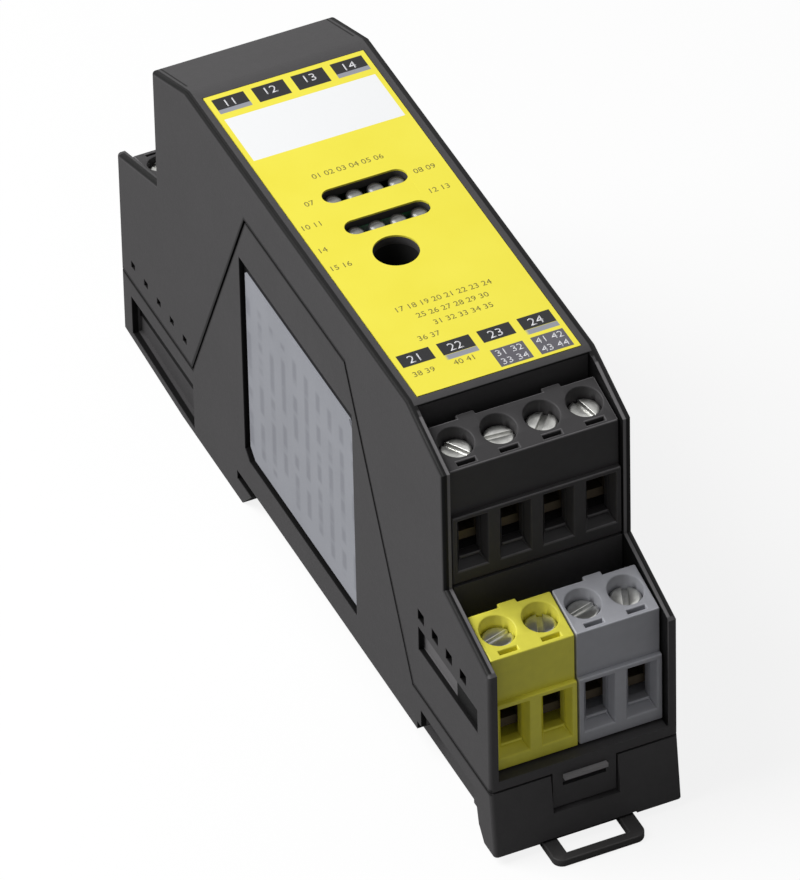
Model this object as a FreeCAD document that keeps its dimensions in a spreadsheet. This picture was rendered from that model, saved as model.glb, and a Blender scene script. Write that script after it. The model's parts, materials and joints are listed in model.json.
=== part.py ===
import FreeCAD, Part
import os
import re
import Sketcher

# Rail-mounted safety module for an actuator and sensor bus.
# X runs across the width, Y along the rail's cross direction with the far end at +Y, Z away from the rail.
# The origin is the centre of the rail seat. All sizes are millimetres, and heights count from that seat.

# Counts, and turns in degrees
ROW_POLES = 4
HALF_ROW = ROW_POLES // 2
ROW_LIGHTS = 4
NEAR_NOTCHES = 4
FAR_NOTCHES = 5
PAIR = 2
SLOT_TURN = 53
HALF_TURN = 180

# Driving sizes
SIZES = {
    # Housing outline, the same at both ends
    "housing_width": 22.5,
    "housing_length": 99,
    "tier_depth": 11.2,
    "crown_slope_run": 9.1,
    "parting_height": 5.6,
    "lower_edge_height": 22.45,
    "lower_slope_top": 26.2,
    "upper_edge_height": 42.4,
    "crown_height": 46,
    "edge_round": 0.5,
    # Walls and clearances
    "side_wall": 1.05,
    "tongue_wall": 1.2,
    "shell_wall": 1.2,
    "parting_gap": 0.3,
    "slide_gap": 0.3,
    "snug_gap": 0.2,
    "plug_gap": 0.1,
    # Base and rail seat for a 35 mm rail
    "rail_width": 35,
    "rail_play": 0.2,
    "flange_slot": 1.3,
    "hook_reach": 3.5,
    "hook_lead": 2.4,
    "seat_depth": 3.9,
    "belly_drop": 2.8,
    "far_belly_start": 33,
    "near_belly_rise": 1.1,
    "near_belly_start": 30.5,
    "heel_length": 3.6,
    "heel_slant": 1.8,
    "heel_flare": 1,
    "base_floor": 4,
    "base_end_wall": 3,
    "skirt_wall": 2.2,
    # Raised tongue of the base on both sides
    "tongue_root": 29.5,
    "tongue_head": 13.1,
    "tongue_height": 39.3,
    "plate_recess_far": 15.2,
    "plate_recess_near": 14.8,
    "plate_recess_low": 3.9,
    "plate_recess_high": 33,
    "plate_recess_depth": 0.6,
    "plate_corner": 1.2,
    "plate_margin": 0.8,
    "plate_top_margin": 1.9,
    "type_label_corner": 0.8,
    "film_thickness": 0.25,
    # Side pockets of the base
    "far_pocket_start": 2.6,
    "far_pocket_end": 19.9,
    "far_pocket_high": 3.4,
    "far_pocket_depth": 1.2,
    "far_pocket_floor": 0.7,
    "near_pocket_start": 4.3,
    "near_pocket_end": 18,
    "near_pocket_high": 3.5,
    "near_pocket_depth": 2.4,
    # Window and marking notches in the hood's sides
    "window_start": 3,
    "window_end": 18.2,
    "window_low": 12.2,
    "window_high": 18.2,
    "window_depth": 0.45,
    "window_deep_length": 9.1,
    "window_bar": 1.1,
    "notch_width": 1.6,
    "notch_height": 1.5,
    "notch_pitch": 3.6,
    "notch_depth": 0.75,
    "far_notch_start": 3,
    "far_notch_low": 8,
    "far_notch_width": 1.1,
    "far_notch_height": 1,
    # Snap tongues at the ends
    "snap_width": 7.6,
    "snap_low": 0.8,
    "snap_thickness": 1.2,
    "snap_slot_width": 5.2,
    "snap_slot_low": 3.7,
    "snap_slot_high": 4.9,
    "snap_nose": 0.9,
    "snap_ledge": 0.6,
    "snap_ledge_height": 0.5,
    # Front label, indicators and addressing socket
    "label_edge": 1.45,
    "label_far": 27.4,
    "label_near": 29.1,
    "label_recess": 0.2,
    "label_margin": 0.1,
    "indicator_pitch": 2.54,
    "indicator_diameter": 2,
    "indicator_slot": 2.5,
    "first_row": 5.7,
    "second_row": -0.25,
    "indicator_recess": 0.4,
    "indicator_bevel": 0.45,
    "socket_across": -1.5,
    "socket_along": -5.8,
    "socket_bore": 5.2,
    "socket_outer": 7.6,
    "socket_depth": 12,
    "socket_bore_depth": 5.8,
    "socket_neck": 3.4,
    "socket_neck_depth": 3.8,
    "socket_pin": 1.3,
    # Boards
    "board_thickness": 1.6,
    "board_across": 4,
    "board_gap": 1.4,
    "board_clear": 0.8,
    "board_far_gap": 2.2,
    "front_board_drop": 2.3,
    "front_board_gap": 1.2,
    "front_board_far": 12,
    "front_board_near": 14,
    "link_width": 2.5,
    "link_far": 10,
    "link_near": 0.4,
    "link_height": 2.6,
    "guide_width": 0.9,
    "guide_length": 3,
    "guide_height": 3,
    "guide_along": 20,
    # Plugs
    "plug_side_gap": 0.04,
    "plug_front_height": 15.5,
    "plug_top_depth": 6.2,
    "plug_top_slope": 13,
    "plug_ledge": 0.6,
    "plug_ledge_drop": 6.2,
    "plug_nose_depth": 8,
    "plug_nose_low": 2.6,
    "plug_nose_high": 9.6,
    "plug_nose_inset": 0.9,
    "plug_tab_width": 2.2,
    "plug_tab_depth": 0.6,
    "plug_tab_height": 3,
    "lower_plug_inset": 1.3,
    "upper_plug_inset": 0.1,
    "bay_floor_gap": 0.3,
    "bay_floor": 1.3,
    "upper_bay_gap": 1.4,
    "entry_width": 3.6,
    "entry_low": 1.6,
    "entry_high": 8.7,
    "entry_funnel": 1.6,
    "entry_sill": 2.6,
    "wire_hole_width": 2.5,
    "wire_hole_low": 4.65,
    "wire_hole_high": 8.1,
    "screw_set_back": 4.1,
    "seat_drop": 2.4,
    "test_slot_width": 2.2,
    "test_slot_length": 0.5,
    "test_slot_set_back": 1.35,
    "test_slot_depth": 1.6,
    # Terminal screws, clamps and contacts
    "screw_head": 3.6,
    "screw_head_height": 1.35,
    "screw_edge": 0.35,
    "screw_shank": 2.4,
    "screw_head_gap": 0.05,
    "driver_slot_width": 0.7,
    "driver_slot_depth": 0.6,
    "clamp_width": 3.7,
    "clamp_length": 3.6,
    "clamp_low": 4,
    "clamp_jaw": 1.2,
    "clamp_window": 4,
    "clamp_head": 1.6,
    "clamp_side": 0.6,
    "clamp_travel": 2,
    "bar_low": 8.3,
    "bar_thickness": 0.7,
    "bar_width": 1.8,
    "bar_start": 2.6,
    "bar_leg": 7.8,
    "blade_thickness": 0.6,
    "blade_length": 6.4,
    "pin_height": 6,
    "pin_size": 1,
    "pin_play": 0.25,
    "contact_play": 0.2,
    "pin_slack": 0.05,
    # Headers and pins
    "header_wall": 0.65,
    "header_back": 1.2,
    "pin_reach": 5,
    "pin_tail": 2,
    "pin_step": 1.8,
    # Rail foot and its spring
    "foot_width": 11,
    "foot_flange": 1.3,
    "foot_flange_low": 1.6,
    "foot_flange_height": 1.2,
    "foot_lip_reach": 2.9,
    "foot_travel": 4,
    "foot_end_gap": 1.1,
    "foot_window_spare": 1,
    "foot_tail_height": 1,
    "foot_loop_reach": 4.4,
    "loop_bar": 1.2,
    "loop_opening": 3.2,
    "loop_side": 1.8,
    "loop_round": 1.2,
    "foot_window_start": 22,
    "guide_rail_low": 0.2,
    "guide_lip": 1,
    "post_width": 4,
    "post_thickness": 1.6,
    "spring_thickness": 0.4,
    "spring_height": 1.6,
    "spring_low": 1.2,
    # Parts on the boards
    "chip_height": 1.6,
    "lead_pitch": 1.27,
    "lead_width": 0.45,
    "lead_reach": 1.1,
    "lead_height": 0.6,
    "controller_length": 12.8,
    "controller_width": 7.5,
    "controller_along": 12,
    "controller_up": 29,
    "bus_chip_length": 10.3,
    "bus_chip_width": 7.5,
    "bus_chip_along": 1,
    "bus_chip_up": 13,
    "coil_diameter": 7,
    "coil_height": 4.2,
    "coil_along": 13,
    "coil_up": 13,
    "coil_pitch": 8.5,
    "capacitor_diameter": 6.3,
    "capacitor_length": 7.7,
    "capacitor_round": 0.5,
    "capacitor_along": -18,
    "capacitor_up": 11,
    "capacitor_pitch": 8,
    "driver_length": 6.5,
    "driver_width": 6.1,
    "driver_height": 2.3,
    "driver_along": -16,
    "driver_up": 18,
    "driver_pitch": 9,
}

# Sizes worked out from the driving ones
DERIVED = {
    "half_width": "housing_width / 2",
    "half_length": "housing_length / 2",
    "tier_face": "half_length - tier_depth",
    "crown_half": "tier_face - crown_slope_run",
    "bay_half": "half_width - side_wall",
    "label_half": "half_width - label_edge",
    "front_board_half": "bay_half - front_board_gap",
    "window_top": "window_high - notch_height - window_bar",
    "hook_end": "rail_width / 2 + rail_play",
    "hook_tip": "rail_width / 2 - hook_reach",
    "hook_top": "0 - flange_slot",
    "hood_low": "parting_height + parting_gap",
    "lower_bay_floor": "hood_low + bay_floor",
    "upper_bay_floor": "lower_slope_top",
    "lower_plug_bottom": "lower_bay_floor + bay_floor_gap",
    "upper_plug_bottom": "upper_bay_floor + bay_floor_gap",
    "lower_front": "half_length - lower_plug_inset",
    "upper_front": "tier_face - upper_plug_inset",
    "plug_back": "plug_ledge + plug_top_depth",
    "plug_rise": "plug_top_depth * tan(plug_top_slope)",
    "nose_end": "plug_back + plug_nose_depth",
    "upper_bay_back": "upper_front - plug_back - upper_bay_gap",
    "screw_surface": "plug_front_height + (screw_set_back - plug_ledge) * tan(plug_top_slope)",
    "seat_height": "screw_surface - seat_drop",
    "screw_low": "seat_height + screw_head_gap",
    "screw_top": "screw_low + screw_head_height",
    "well_diameter": "screw_head + 2 * snug_gap",
    "screw_hole": "screw_shank + 2 * snug_gap",
    "clamp_hole": "screw_shank + snug_gap",
    "clamp_top": "clamp_low + clamp_jaw + clamp_window + clamp_head",
    "chamber_width": "clamp_width + 2 * snug_gap",
    "chamber_length": "clamp_length + 2 * snug_gap",
    "chamber_low": "clamp_low - 2 * snug_gap",
    "chamber_high": "clamp_top + clamp_travel + slide_gap",
    "bar_top": "bar_low + bar_thickness",
    "lower_blade_top": "pin_height - pin_size / 2 - pin_play",
    "upper_blade_low": "pin_height + pin_size / 2 + pin_play",
    "leg_back": "bar_leg + blade_thickness",
    "blade_end": "bar_leg + blade_length",
    "pole_pitch": "(bay_half - plug_side_gap) / %d" % HALF_ROW,
    "header_half": "bay_half - plug_gap",
    "header_low": "plug_nose_low - slide_gap - header_wall",
    "header_high": "plug_nose_high + slide_gap + header_wall",
    "header_floor": "nose_end + slide_gap",
    "header_end": "header_floor + header_back",
    "lower_header_front": "lower_front - tier_face",
    "upper_header_front": "upper_front - upper_bay_back",
    "board_low_end": "lower_front - header_end - board_gap",
    "board_high_near": "upper_front - header_end - board_gap",
    "board_left": "board_across - board_thickness / 2",
    "board_right": "board_across + board_thickness / 2",
    "crown_inside": "crown_height - shell_wall",
    "front_board_high": "crown_inside - front_board_drop",
    "front_board_low": "front_board_high - board_thickness",
    "board_top": "front_board_low - board_clear",
    "board_step": "upper_bay_floor - shell_wall - board_clear",
    "board_high_far": "crown_half - board_far_gap",
    "socket_low": "crown_inside - socket_depth",
    "foot_bottom": "0 - seat_depth",
    "foot_tip": "rail_width / 2 - foot_lip_reach",
    "foot_stop": "rail_width / 2 + rail_play",
    "foot_end": "half_length + foot_loop_reach",
    "foot_lip": "seat_depth - flange_slot - plug_gap",
    "foot_height": "seat_depth - slide_gap",
    "foot_tail_start": "heel_front - foot_travel - foot_end_gap",
    "spring_rise": "foot_travel + spring_thickness",
    "foot_window_half": "spring_rise + snug_gap",
    "post_front": "foot_window_start + spring_rise + 2 * snug_gap",
    "post_back": "post_front + post_thickness",
    "foot_window_end": "post_back + foot_window_spare",
    "heel_bottom": "0 - belly_drop",
    "heel_front": "half_length - heel_length",
}


def formula(text):
    """Writes a size given in words as an expression on the sheet's cells."""

    def cell(match):
        word = match.group(0)
        if word in DERIVED:
            return "(" + formula(DERIVED[word]) + ")"
        if word in SIZES:
            return "Sizes." + word
        return word

    return re.sub(r"[a-z_]+[a-z_0-9]*", cell, text)


doc = FreeCAD.newDocument("safety_module")
sheet = doc.addObject("Spreadsheet::Sheet", "Sizes")
for row, (name, value) in enumerate(SIZES.items(), start=1):
    sheet.set("A%d" % row, name)
    sheet.set("B%d" % row, str(value))
    sheet.setAlias("B%d" % row, name)
doc.recompute()

NODES = []
TINY = 1e-6


def number(text):
    """The present value of a size given in words."""
    return float(sheet.evalExpression(formula(text)))


def bind(item, **sizes):
    """Ties properties of one object to sizes given in words."""
    for name, text in sizes.items():
        item.setExpression(name, formula(text))


def place(item, across="0", along="0", up="0", turn=0):
    """Puts an object at a place given in words, turned about the vertical."""
    spin = FreeCAD.Rotation(FreeCAD.Vector(0, 0, 1), turn)
    item.Placement = FreeCAD.Placement(FreeCAD.Vector(), spin)
    for letter, text in (("x", across), ("y", along), ("z", up)):
        item.setExpression("Placement.Base." + letter, formula(text))


def node(item, label):
    """Marks an object as one of the module's pieces."""
    item.Label = label
    NODES.append(item)
    return item


def group(label, members):
    """One node that holds several like solids."""
    item = node(doc.addObject("Part::Compound", label), label)
    item.Links = members
    return item


def centred(index, count):
    """How many pitches a member of a row lies from the row's middle."""
    return index + 0.5 - count / 2


def polygon(drawing, corners):
    """Draws a closed outline with every corner bound to its two sizes."""
    first = drawing.GeometryCount
    spots = [FreeCAD.Vector(number(across), number(up), 0) for across, up in corners]
    count = len(spots)
    lines = [Part.LineSegment(spots[i], spots[(i + 1) % count]) for i in range(count)]
    drawing.addGeometry(lines, False)
    for i in range(count):
        follower = first + (i + 1) % count
        drawing.addConstraint(Sketcher.Constraint("Coincident", first + i, 2, follower, 1))
    for i, (across, up) in enumerate(corners):
        for kind, text, value in (("DistanceX", across, spots[i].x), ("DistanceY", up, spots[i].y)):
            index = drawing.addConstraint(Sketcher.Constraint(kind, -1, 1, first + i, 1, value))
            drawing.setExpression("Constraints[%d]" % index, formula(text))


def rectangle(drawing, left, low, right, high):
    """Draws a rectangle from its four edges."""
    polygon(drawing, [(left, low), (right, low), (right, high), (left, high)])


def circle(drawing, across, up, diameter):
    """Draws a circle bound to its centre and diameter."""
    centre = FreeCAD.Vector(number(across), number(up), 0)
    shape = Part.Circle(centre, FreeCAD.Vector(0, 0, 1), number(diameter) / 2)
    index = drawing.addGeometry(shape, False)
    ties = (
        (Sketcher.Constraint("DistanceX", -1, 1, index, 3, centre.x), across),
        (Sketcher.Constraint("DistanceY", -1, 1, index, 3, centre.y), up),
        (Sketcher.Constraint("Diameter", index, number(diameter)), diameter),
    )
    for tie, text in ties:
        drawing.setExpression("Constraints[%d]" % drawing.addConstraint(tie), formula(text))


class Piece:
    """One moulded, stamped or turned piece, shaped step by step."""

    def __init__(self, label, alone=True):
        self.body = doc.addObject("PartDesign::Body", label)
        if alone:
            node(self.body, label)

    def datum(self, role):
        """One of the body's own planes or axes."""
        return next(f for f in self.body.Origin.OriginFeatures if f.Role == role)

    def sketch(self, role, away="0"):
        """A sketch on one of the body's planes, moved along the plane's normal."""
        drawing = self.body.newObject("Sketcher::SketchObject", self.body.Name + "Sketch")
        drawing.AttachmentSupport = [(self.datum(role), "")]
        drawing.MapMode = "FlatFace"
        drawing.setExpression("AttachmentOffset.Base.z", formula(away))
        return drawing

    def extrude(self, kind, drawing, length, symmetric, reverse):
        """Pads or pockets a sketch by a length given in words."""
        step = self.body.newObject("PartDesign::" + kind, self.body.Name + kind)
        step.Profile = drawing
        step.SideType = "Symmetric" if symmetric else "One side"
        step.Reversed = reverse
        bind(step, Length=length)
        return step

    def pad(self, drawing, length, symmetric=False, reverse=False):
        """Adds the sketch's area along its normal."""
        return self.extrude("Pad", drawing, length, symmetric, reverse)

    def pocket(self, drawing, length, symmetric=False, reverse=False):
        """Takes the sketch's area away against its normal, and makes sure that it cuts."""
        doc.recompute()
        before = self.body.Shape.Volume
        step = self.extrude("Pocket", drawing, length, symmetric, reverse)
        doc.recompute()
        if self.body.Shape.Volume > before - TINY:
            raise RuntimeError("a pocket of %s cuts nothing" % self.body.Label)
        return step

    def funnel(self, mouth, throat):
        """Takes away a straight-sided taper between two sketches."""
        step = self.body.newObject("PartDesign::SubtractiveLoft", self.body.Name + "Funnel")
        step.Profile = (mouth, [""])
        step.Sections = [(throat, [""])]
        step.Ruled = True
        return step

    def spin(self, drawing, axis):
        """Turns a sketch once round one of its own axes."""
        step = self.body.newObject("PartDesign::Revolution", self.body.Name + "Spin")
        step.Profile = drawing
        step.ReferenceAxis = (drawing, [axis])
        step.Angle = 360
        return step

    def repeat(self, steps, spacing, count, role="X_Axis"):
        """Repeats steps along one of the body's axes."""
        step = self.body.newObject("PartDesign::LinearPattern", self.body.Name + "Row")
        step.Originals = steps
        step.Direction = (self.datum(role), [""])
        step.Mode = "Spacing"
        step.Occurrences = count
        bind(step, Offset=spacing)
        self.body.Tip = step
        return step

    def mirror(self, steps, role="YZ_Plane"):
        """Repeats steps on the other side of one of the body's planes."""
        step = self.body.newObject("PartDesign::Mirrored", self.body.Name + "Mirror")
        step.Originals = steps
        step.MirrorPlane = (self.datum(role), [""])
        self.body.Tip = step
        return step

    def round(self, base, radius, wanted):
        """Rounds the edges of a step whose middles pass a test."""
        doc.recompute()
        edges = [
            "Edge%d" % (i + 1)
            for i, edge in enumerate(base.Shape.Edges)
            if wanted(edge.CenterOfMass)
        ]
        step = self.body.newObject("PartDesign::Fillet", self.body.Name + "Round")
        step.Base = (base, edges)
        bind(step, Radius=radius)
        return step


# Base housing: rail hook, seat, heel, side tongues and the foot's guides
def make_base():
    base = Piece("base_housing")
    profile = base.sketch("YZ_Plane")
    polygon(profile, [
        ("half_length", "heel_bottom"),
        ("far_belly_start", "foot_bottom"),
        ("hook_tip + hook_lead", "foot_bottom"),
        ("hook_tip", "hook_top"),
        ("hook_end", "hook_top"),
        ("hook_end", "0"),
        ("0 - near_belly_start", "0"),
        ("0 - near_belly_start", "near_belly_rise"),
        ("0 - heel_front", "near_belly_rise"),
        ("0 - heel_front - heel_slant / 4", "heel_bottom + heel_slant"),
        ("0 - heel_front - heel_slant", "heel_bottom"),
        ("0 - half_length - heel_flare", "heel_bottom"),
        ("0 - half_length", "parting_height"),
        ("half_length", "parting_height"),
    ])
    block = base.pad(profile, "housing_width", symmetric=True)
    half_width = number("half_width")
    half_length = number("half_length")
    base.round(block, "edge_round", lambda spot: (
        abs(abs(spot.x) - half_width) < TINY and abs(spot.y) > half_length - TINY))

    inside = base.sketch("XY_Plane", "parting_height")
    rectangle(
        inside,
        "tongue_wall - half_width", "base_end_wall - half_length",
        "half_width - tongue_wall", "half_length - base_end_wall",
    )
    base.pocket(inside, "parting_height - base_floor")

    under = base.sketch("XY_Plane", "foot_bottom")
    rectangle(
        under,
        "skirt_wall - half_width", "hook_end + hook_reach",
        "half_width - skirt_wall", "half_length - base_end_wall",
    )
    base.pocket(under, "seat_depth", reverse=True)

    tongue = base.sketch("YZ_Plane", "half_width - tongue_wall")
    polygon(tongue, [
        ("0 - tongue_root", "parting_height - shell_wall"),
        ("tongue_root", "parting_height - shell_wall"),
        ("tongue_root", "parting_height"),
        ("tongue_head", "tongue_height"),
        ("0 - tongue_head", "tongue_height"),
        ("0 - tongue_root", "parting_height"),
    ])
    wall = base.pad(tongue, "tongue_wall")
    base.mirror([wall])

    plate = base.sketch("YZ_Plane", "half_width")
    polygon(plate, [
        ("0 - plate_recess_near", "plate_recess_low"),
        ("plate_recess_far - plate_corner", "plate_recess_low"),
        ("plate_recess_far", "plate_recess_low + plate_corner"),
        ("plate_recess_far", "plate_recess_high"),
        ("0 - plate_recess_near", "plate_recess_high"),
    ])
    plate_cut = base.pocket(plate, "plate_recess_depth")
    base.mirror([plate_cut])

    far_pocket = base.sketch("YZ_Plane", "half_width")
    polygon(far_pocket, [
        ("half_length - far_pocket_end", "foot_bottom + far_pocket_floor"),
        ("half_length - far_pocket_start", "heel_bottom + far_pocket_floor"),
        ("half_length - far_pocket_start", "far_pocket_high"),
        ("half_length - far_pocket_end", "far_pocket_high"),
    ])
    far_cut = base.pocket(far_pocket, "far_pocket_depth")
    base.mirror([far_cut])
    near_pocket = base.sketch("YZ_Plane", "half_width")
    rectangle(
        near_pocket,
        "near_pocket_start - half_length", "near_belly_rise - shell_wall",
        "near_pocket_end - half_length", "near_pocket_high",
    )
    near_cut = base.pocket(near_pocket, "near_pocket_depth")
    base.mirror([near_cut])

    snap = base.sketch("XZ_Plane", "half_length + heel_flare")
    rectangle(
        snap,
        "0 - snap_width / 2 - snug_gap", "snap_low - snug_gap",
        "snap_width / 2 + snug_gap", "parting_height + shell_wall",
    )
    snap_cut = base.pocket(snap, "heel_flare + snap_thickness + snug_gap")
    base.mirror([snap_cut], "XZ_Plane")
    nose = base.sketch("XZ_Plane", "half_length - snap_thickness - snug_gap")
    rectangle(
        nose,
        "snug_gap - snap_slot_width / 2", "snap_slot_low + snug_gap",
        "snap_slot_width / 2 - snug_gap", "snap_slot_high - snug_gap",
    )
    nose_pad = base.pad(nose, "snap_nose + snug_gap")
    base.mirror([nose_pad], "XZ_Plane")

    rails = base.sketch("XZ_Plane", "rail_width / 2 + hook_reach")
    rectangle(
        rails,
        "foot_width / 2 + slide_gap", "foot_bottom + guide_rail_low",
        "half_width - near_pocket_depth", "near_belly_rise + shell_wall / 2",
    )
    rail_pad = base.pad(rails, "heel_front - rail_width / 2 - hook_reach + heel_slant")
    base.mirror([rail_pad])
    grooves = base.sketch("XZ_Plane", "rail_width / 2 + hook_reach")
    rectangle(
        grooves,
        "foot_width / 2", "foot_bottom + guide_rail_low + guide_lip",
        "foot_width / 2 + foot_flange + slide_gap",
        "foot_bottom + foot_flange_low + foot_flange_height + slide_gap",
    )
    groove_cut = base.pocket(grooves, "heel_front - rail_width / 2 - hook_reach", reverse=True)
    base.mirror([groove_cut])
    gate = base.sketch("XZ_Plane", "heel_front - heel_slant")
    rectangle(
        gate,
        "0 - foot_width / 2 - slide_gap", "foot_bottom",
        "foot_width / 2 + slide_gap", "foot_bottom + foot_tail_height + slide_gap",
    )
    base.pocket(gate, "heel_length + 2 * heel_slant", reverse=True)

    post = base.sketch("XY_Plane", "near_belly_rise")
    rectangle(
        post,
        "0 - post_width / 2", "0 - post_back", "post_width / 2", "0 - post_front",
    )
    base.pad(post, "near_belly_rise - foot_bottom - guide_rail_low", reverse=True)

    guides = base.sketch("XY_Plane", "base_floor - shell_wall / 2")
    for side in ("0 - guide_along", "guide_along"):
        for left, right in (
            ("board_left - plug_gap - guide_width", "board_left - plug_gap"),
            ("board_right + plug_gap", "board_right + plug_gap + guide_width"),
        ):
            rectangle(guides, left, side + " - guide_length / 2", right, side + " + guide_length / 2")
    base.pad(guides, "guide_height + shell_wall / 2")


# Two round-ended slots for the lights and the round opening of the addressing socket
def cut_front(piece, top, depth):
    slots = piece.sketch("XY_Plane", top)
    ends = piece.sketch("XY_Plane", top)
    last = "%g * indicator_pitch" % centred(ROW_LIGHTS - 1, ROW_LIGHTS)
    for along in ("first_row", "second_row"):
        rectangle(
            slots,
            "0 - " + last, along + " - indicator_slot / 2", last, along + " + indicator_slot / 2",
        )
        circle(ends, "0 - " + last, along, "indicator_slot")
        circle(ends, last, along, "indicator_slot")
    circle(ends, "socket_across", "socket_along", "socket_bore")
    piece.pocket(slots, depth)
    piece.pocket(ends, depth)


# Upper housing: a stepped hood with thin side walls round the terminal bays
def make_hood():
    hood = Piece("upper_housing")
    profile = hood.sketch("YZ_Plane")
    polygon(profile, [
        ("0 - half_length", "hood_low"),
        ("0 - half_length", "lower_edge_height"),
        ("0 - tier_face", "lower_slope_top"),
        ("0 - tier_face", "upper_edge_height"),
        ("0 - crown_half", "crown_height"),
        ("crown_half", "crown_height"),
        ("tier_face", "upper_edge_height"),
        ("tier_face", "lower_slope_top"),
        ("half_length", "lower_edge_height"),
        ("half_length", "hood_low"),
    ])
    block = hood.pad(profile, "housing_width", symmetric=True)
    half_width = number("half_width")
    low = number("hood_low")
    hood.round(block, "edge_round", lambda spot: (
        abs(abs(spot.x) - half_width) < TINY and spot.z > low + TINY))

    inside = hood.sketch("YZ_Plane")
    polygon(inside, [
        ("shell_wall - tier_face", "0"),
        ("shell_wall - tier_face", "upper_bay_floor - shell_wall"),
        ("shell_wall - upper_bay_back", "upper_bay_floor - shell_wall"),
        ("shell_wall - upper_bay_back", "crown_inside"),
        ("crown_half", "crown_inside"),
        ("tier_face - shell_wall", "upper_edge_height - shell_wall"),
        ("tier_face - shell_wall", "0"),
    ])
    hood.pocket(inside, "2 * bay_half", symmetric=True)

    bays = hood.sketch("YZ_Plane")
    polygon(bays, [
        ("0 - upper_bay_back", "crown_height + shell_wall"),
        ("0 - upper_bay_back", "upper_bay_floor"),
        ("0 - tier_face", "upper_bay_floor"),
        ("0 - tier_face", "lower_bay_floor"),
        ("0 - half_length - shell_wall", "lower_bay_floor"),
        ("0 - half_length - shell_wall", "crown_height + shell_wall"),
    ])
    rectangle(
        bays,
        "tier_face", "lower_bay_floor", "half_length + shell_wall", "lower_slope_top + shell_wall",
    )
    hood.pocket(bays, "2 * bay_half", symmetric=True)

    mouths = hood.sketch("YZ_Plane")
    for near, far, bottom in (
        ("0 - upper_bay_back - shell_wall", "2 * shell_wall - upper_bay_back", "upper_plug_bottom"),
        ("0 - tier_face - shell_wall", "2 * shell_wall - tier_face", "lower_plug_bottom"),
        ("tier_face - 2 * shell_wall", "tier_face + shell_wall", "lower_plug_bottom"),
    ):
        rectangle(
            mouths,
            near, bottom + " + header_low - snug_gap", far, bottom + " + header_high + snug_gap",
        )
    hood.pocket(mouths, "2 * bay_half", symmetric=True)

    cheeks = hood.sketch("YZ_Plane")
    polygon(cheeks, [
        ("0 - tongue_root - parting_gap", "0"),
        ("0 - tongue_root - parting_gap", "parting_height"),
        ("0 - tongue_head - parting_gap", "tongue_height + parting_gap"),
        ("tongue_head + parting_gap", "tongue_height + parting_gap"),
        ("tongue_root + parting_gap", "parting_height"),
        ("tongue_root + parting_gap", "0"),
    ])
    hood.pocket(cheeks, "housing_width + shell_wall", symmetric=True)

    label = hood.sketch("XY_Plane", "crown_height")
    rectangle(label, "0 - label_half", "0 - label_near", "label_half", "label_far")
    hood.pocket(label, "label_recess")
    cut_front(hood, "crown_height", "2 * shell_wall")

    snap = hood.sketch("XZ_Plane", "half_length")
    rectangle(snap, "0 - snap_width / 2", "snap_low", "snap_width / 2", "lower_bay_floor")
    snap_pad = hood.pad(snap, "snap_thickness", reverse=True)
    hood.mirror([snap_pad], "XZ_Plane")
    slot = hood.sketch("XZ_Plane", "half_length")
    rectangle(slot, "0 - snap_slot_width / 2", "snap_slot_low", "snap_slot_width / 2", "snap_slot_high")
    slot_cut = hood.pocket(slot, "snap_thickness")
    hood.mirror([slot_cut], "XZ_Plane")
    ledge = hood.sketch("XZ_Plane", "half_length")
    rectangle(
        ledge,
        "0 - snap_slot_width / 2", "snap_slot_high",
        "snap_slot_width / 2", "snap_slot_high + snap_ledge_height",
    )
    hood.pad(ledge, "snap_ledge")

    window = hood.sketch("YZ_Plane", "half_width")
    rectangle(window, "window_start - half_length", "window_low", "window_end - half_length", "window_top")
    window_cut = hood.pocket(window, "window_depth")
    hood.mirror([window_cut])
    notches = hood.sketch("YZ_Plane", "half_width")
    rectangle(
        notches,
        "window_end - window_deep_length - half_length", "window_low",
        "window_end - half_length", "window_top",
    )
    for i in range(NEAR_NOTCHES):
        start = "window_end - half_length - notch_width - %d * notch_pitch" % i
        rectangle(notches, start, "window_high - notch_height", start + " + notch_width", "window_high")
    for i in range(FAR_NOTCHES):
        start = "half_length - far_notch_start - far_notch_width - %d * notch_pitch" % i
        rectangle(
            notches,
            start, "far_notch_low", start + " + far_notch_width", "far_notch_low + far_notch_height",
        )
    notch_cut = hood.pocket(notches, "notch_depth")
    hood.mirror([notch_cut])


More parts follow.
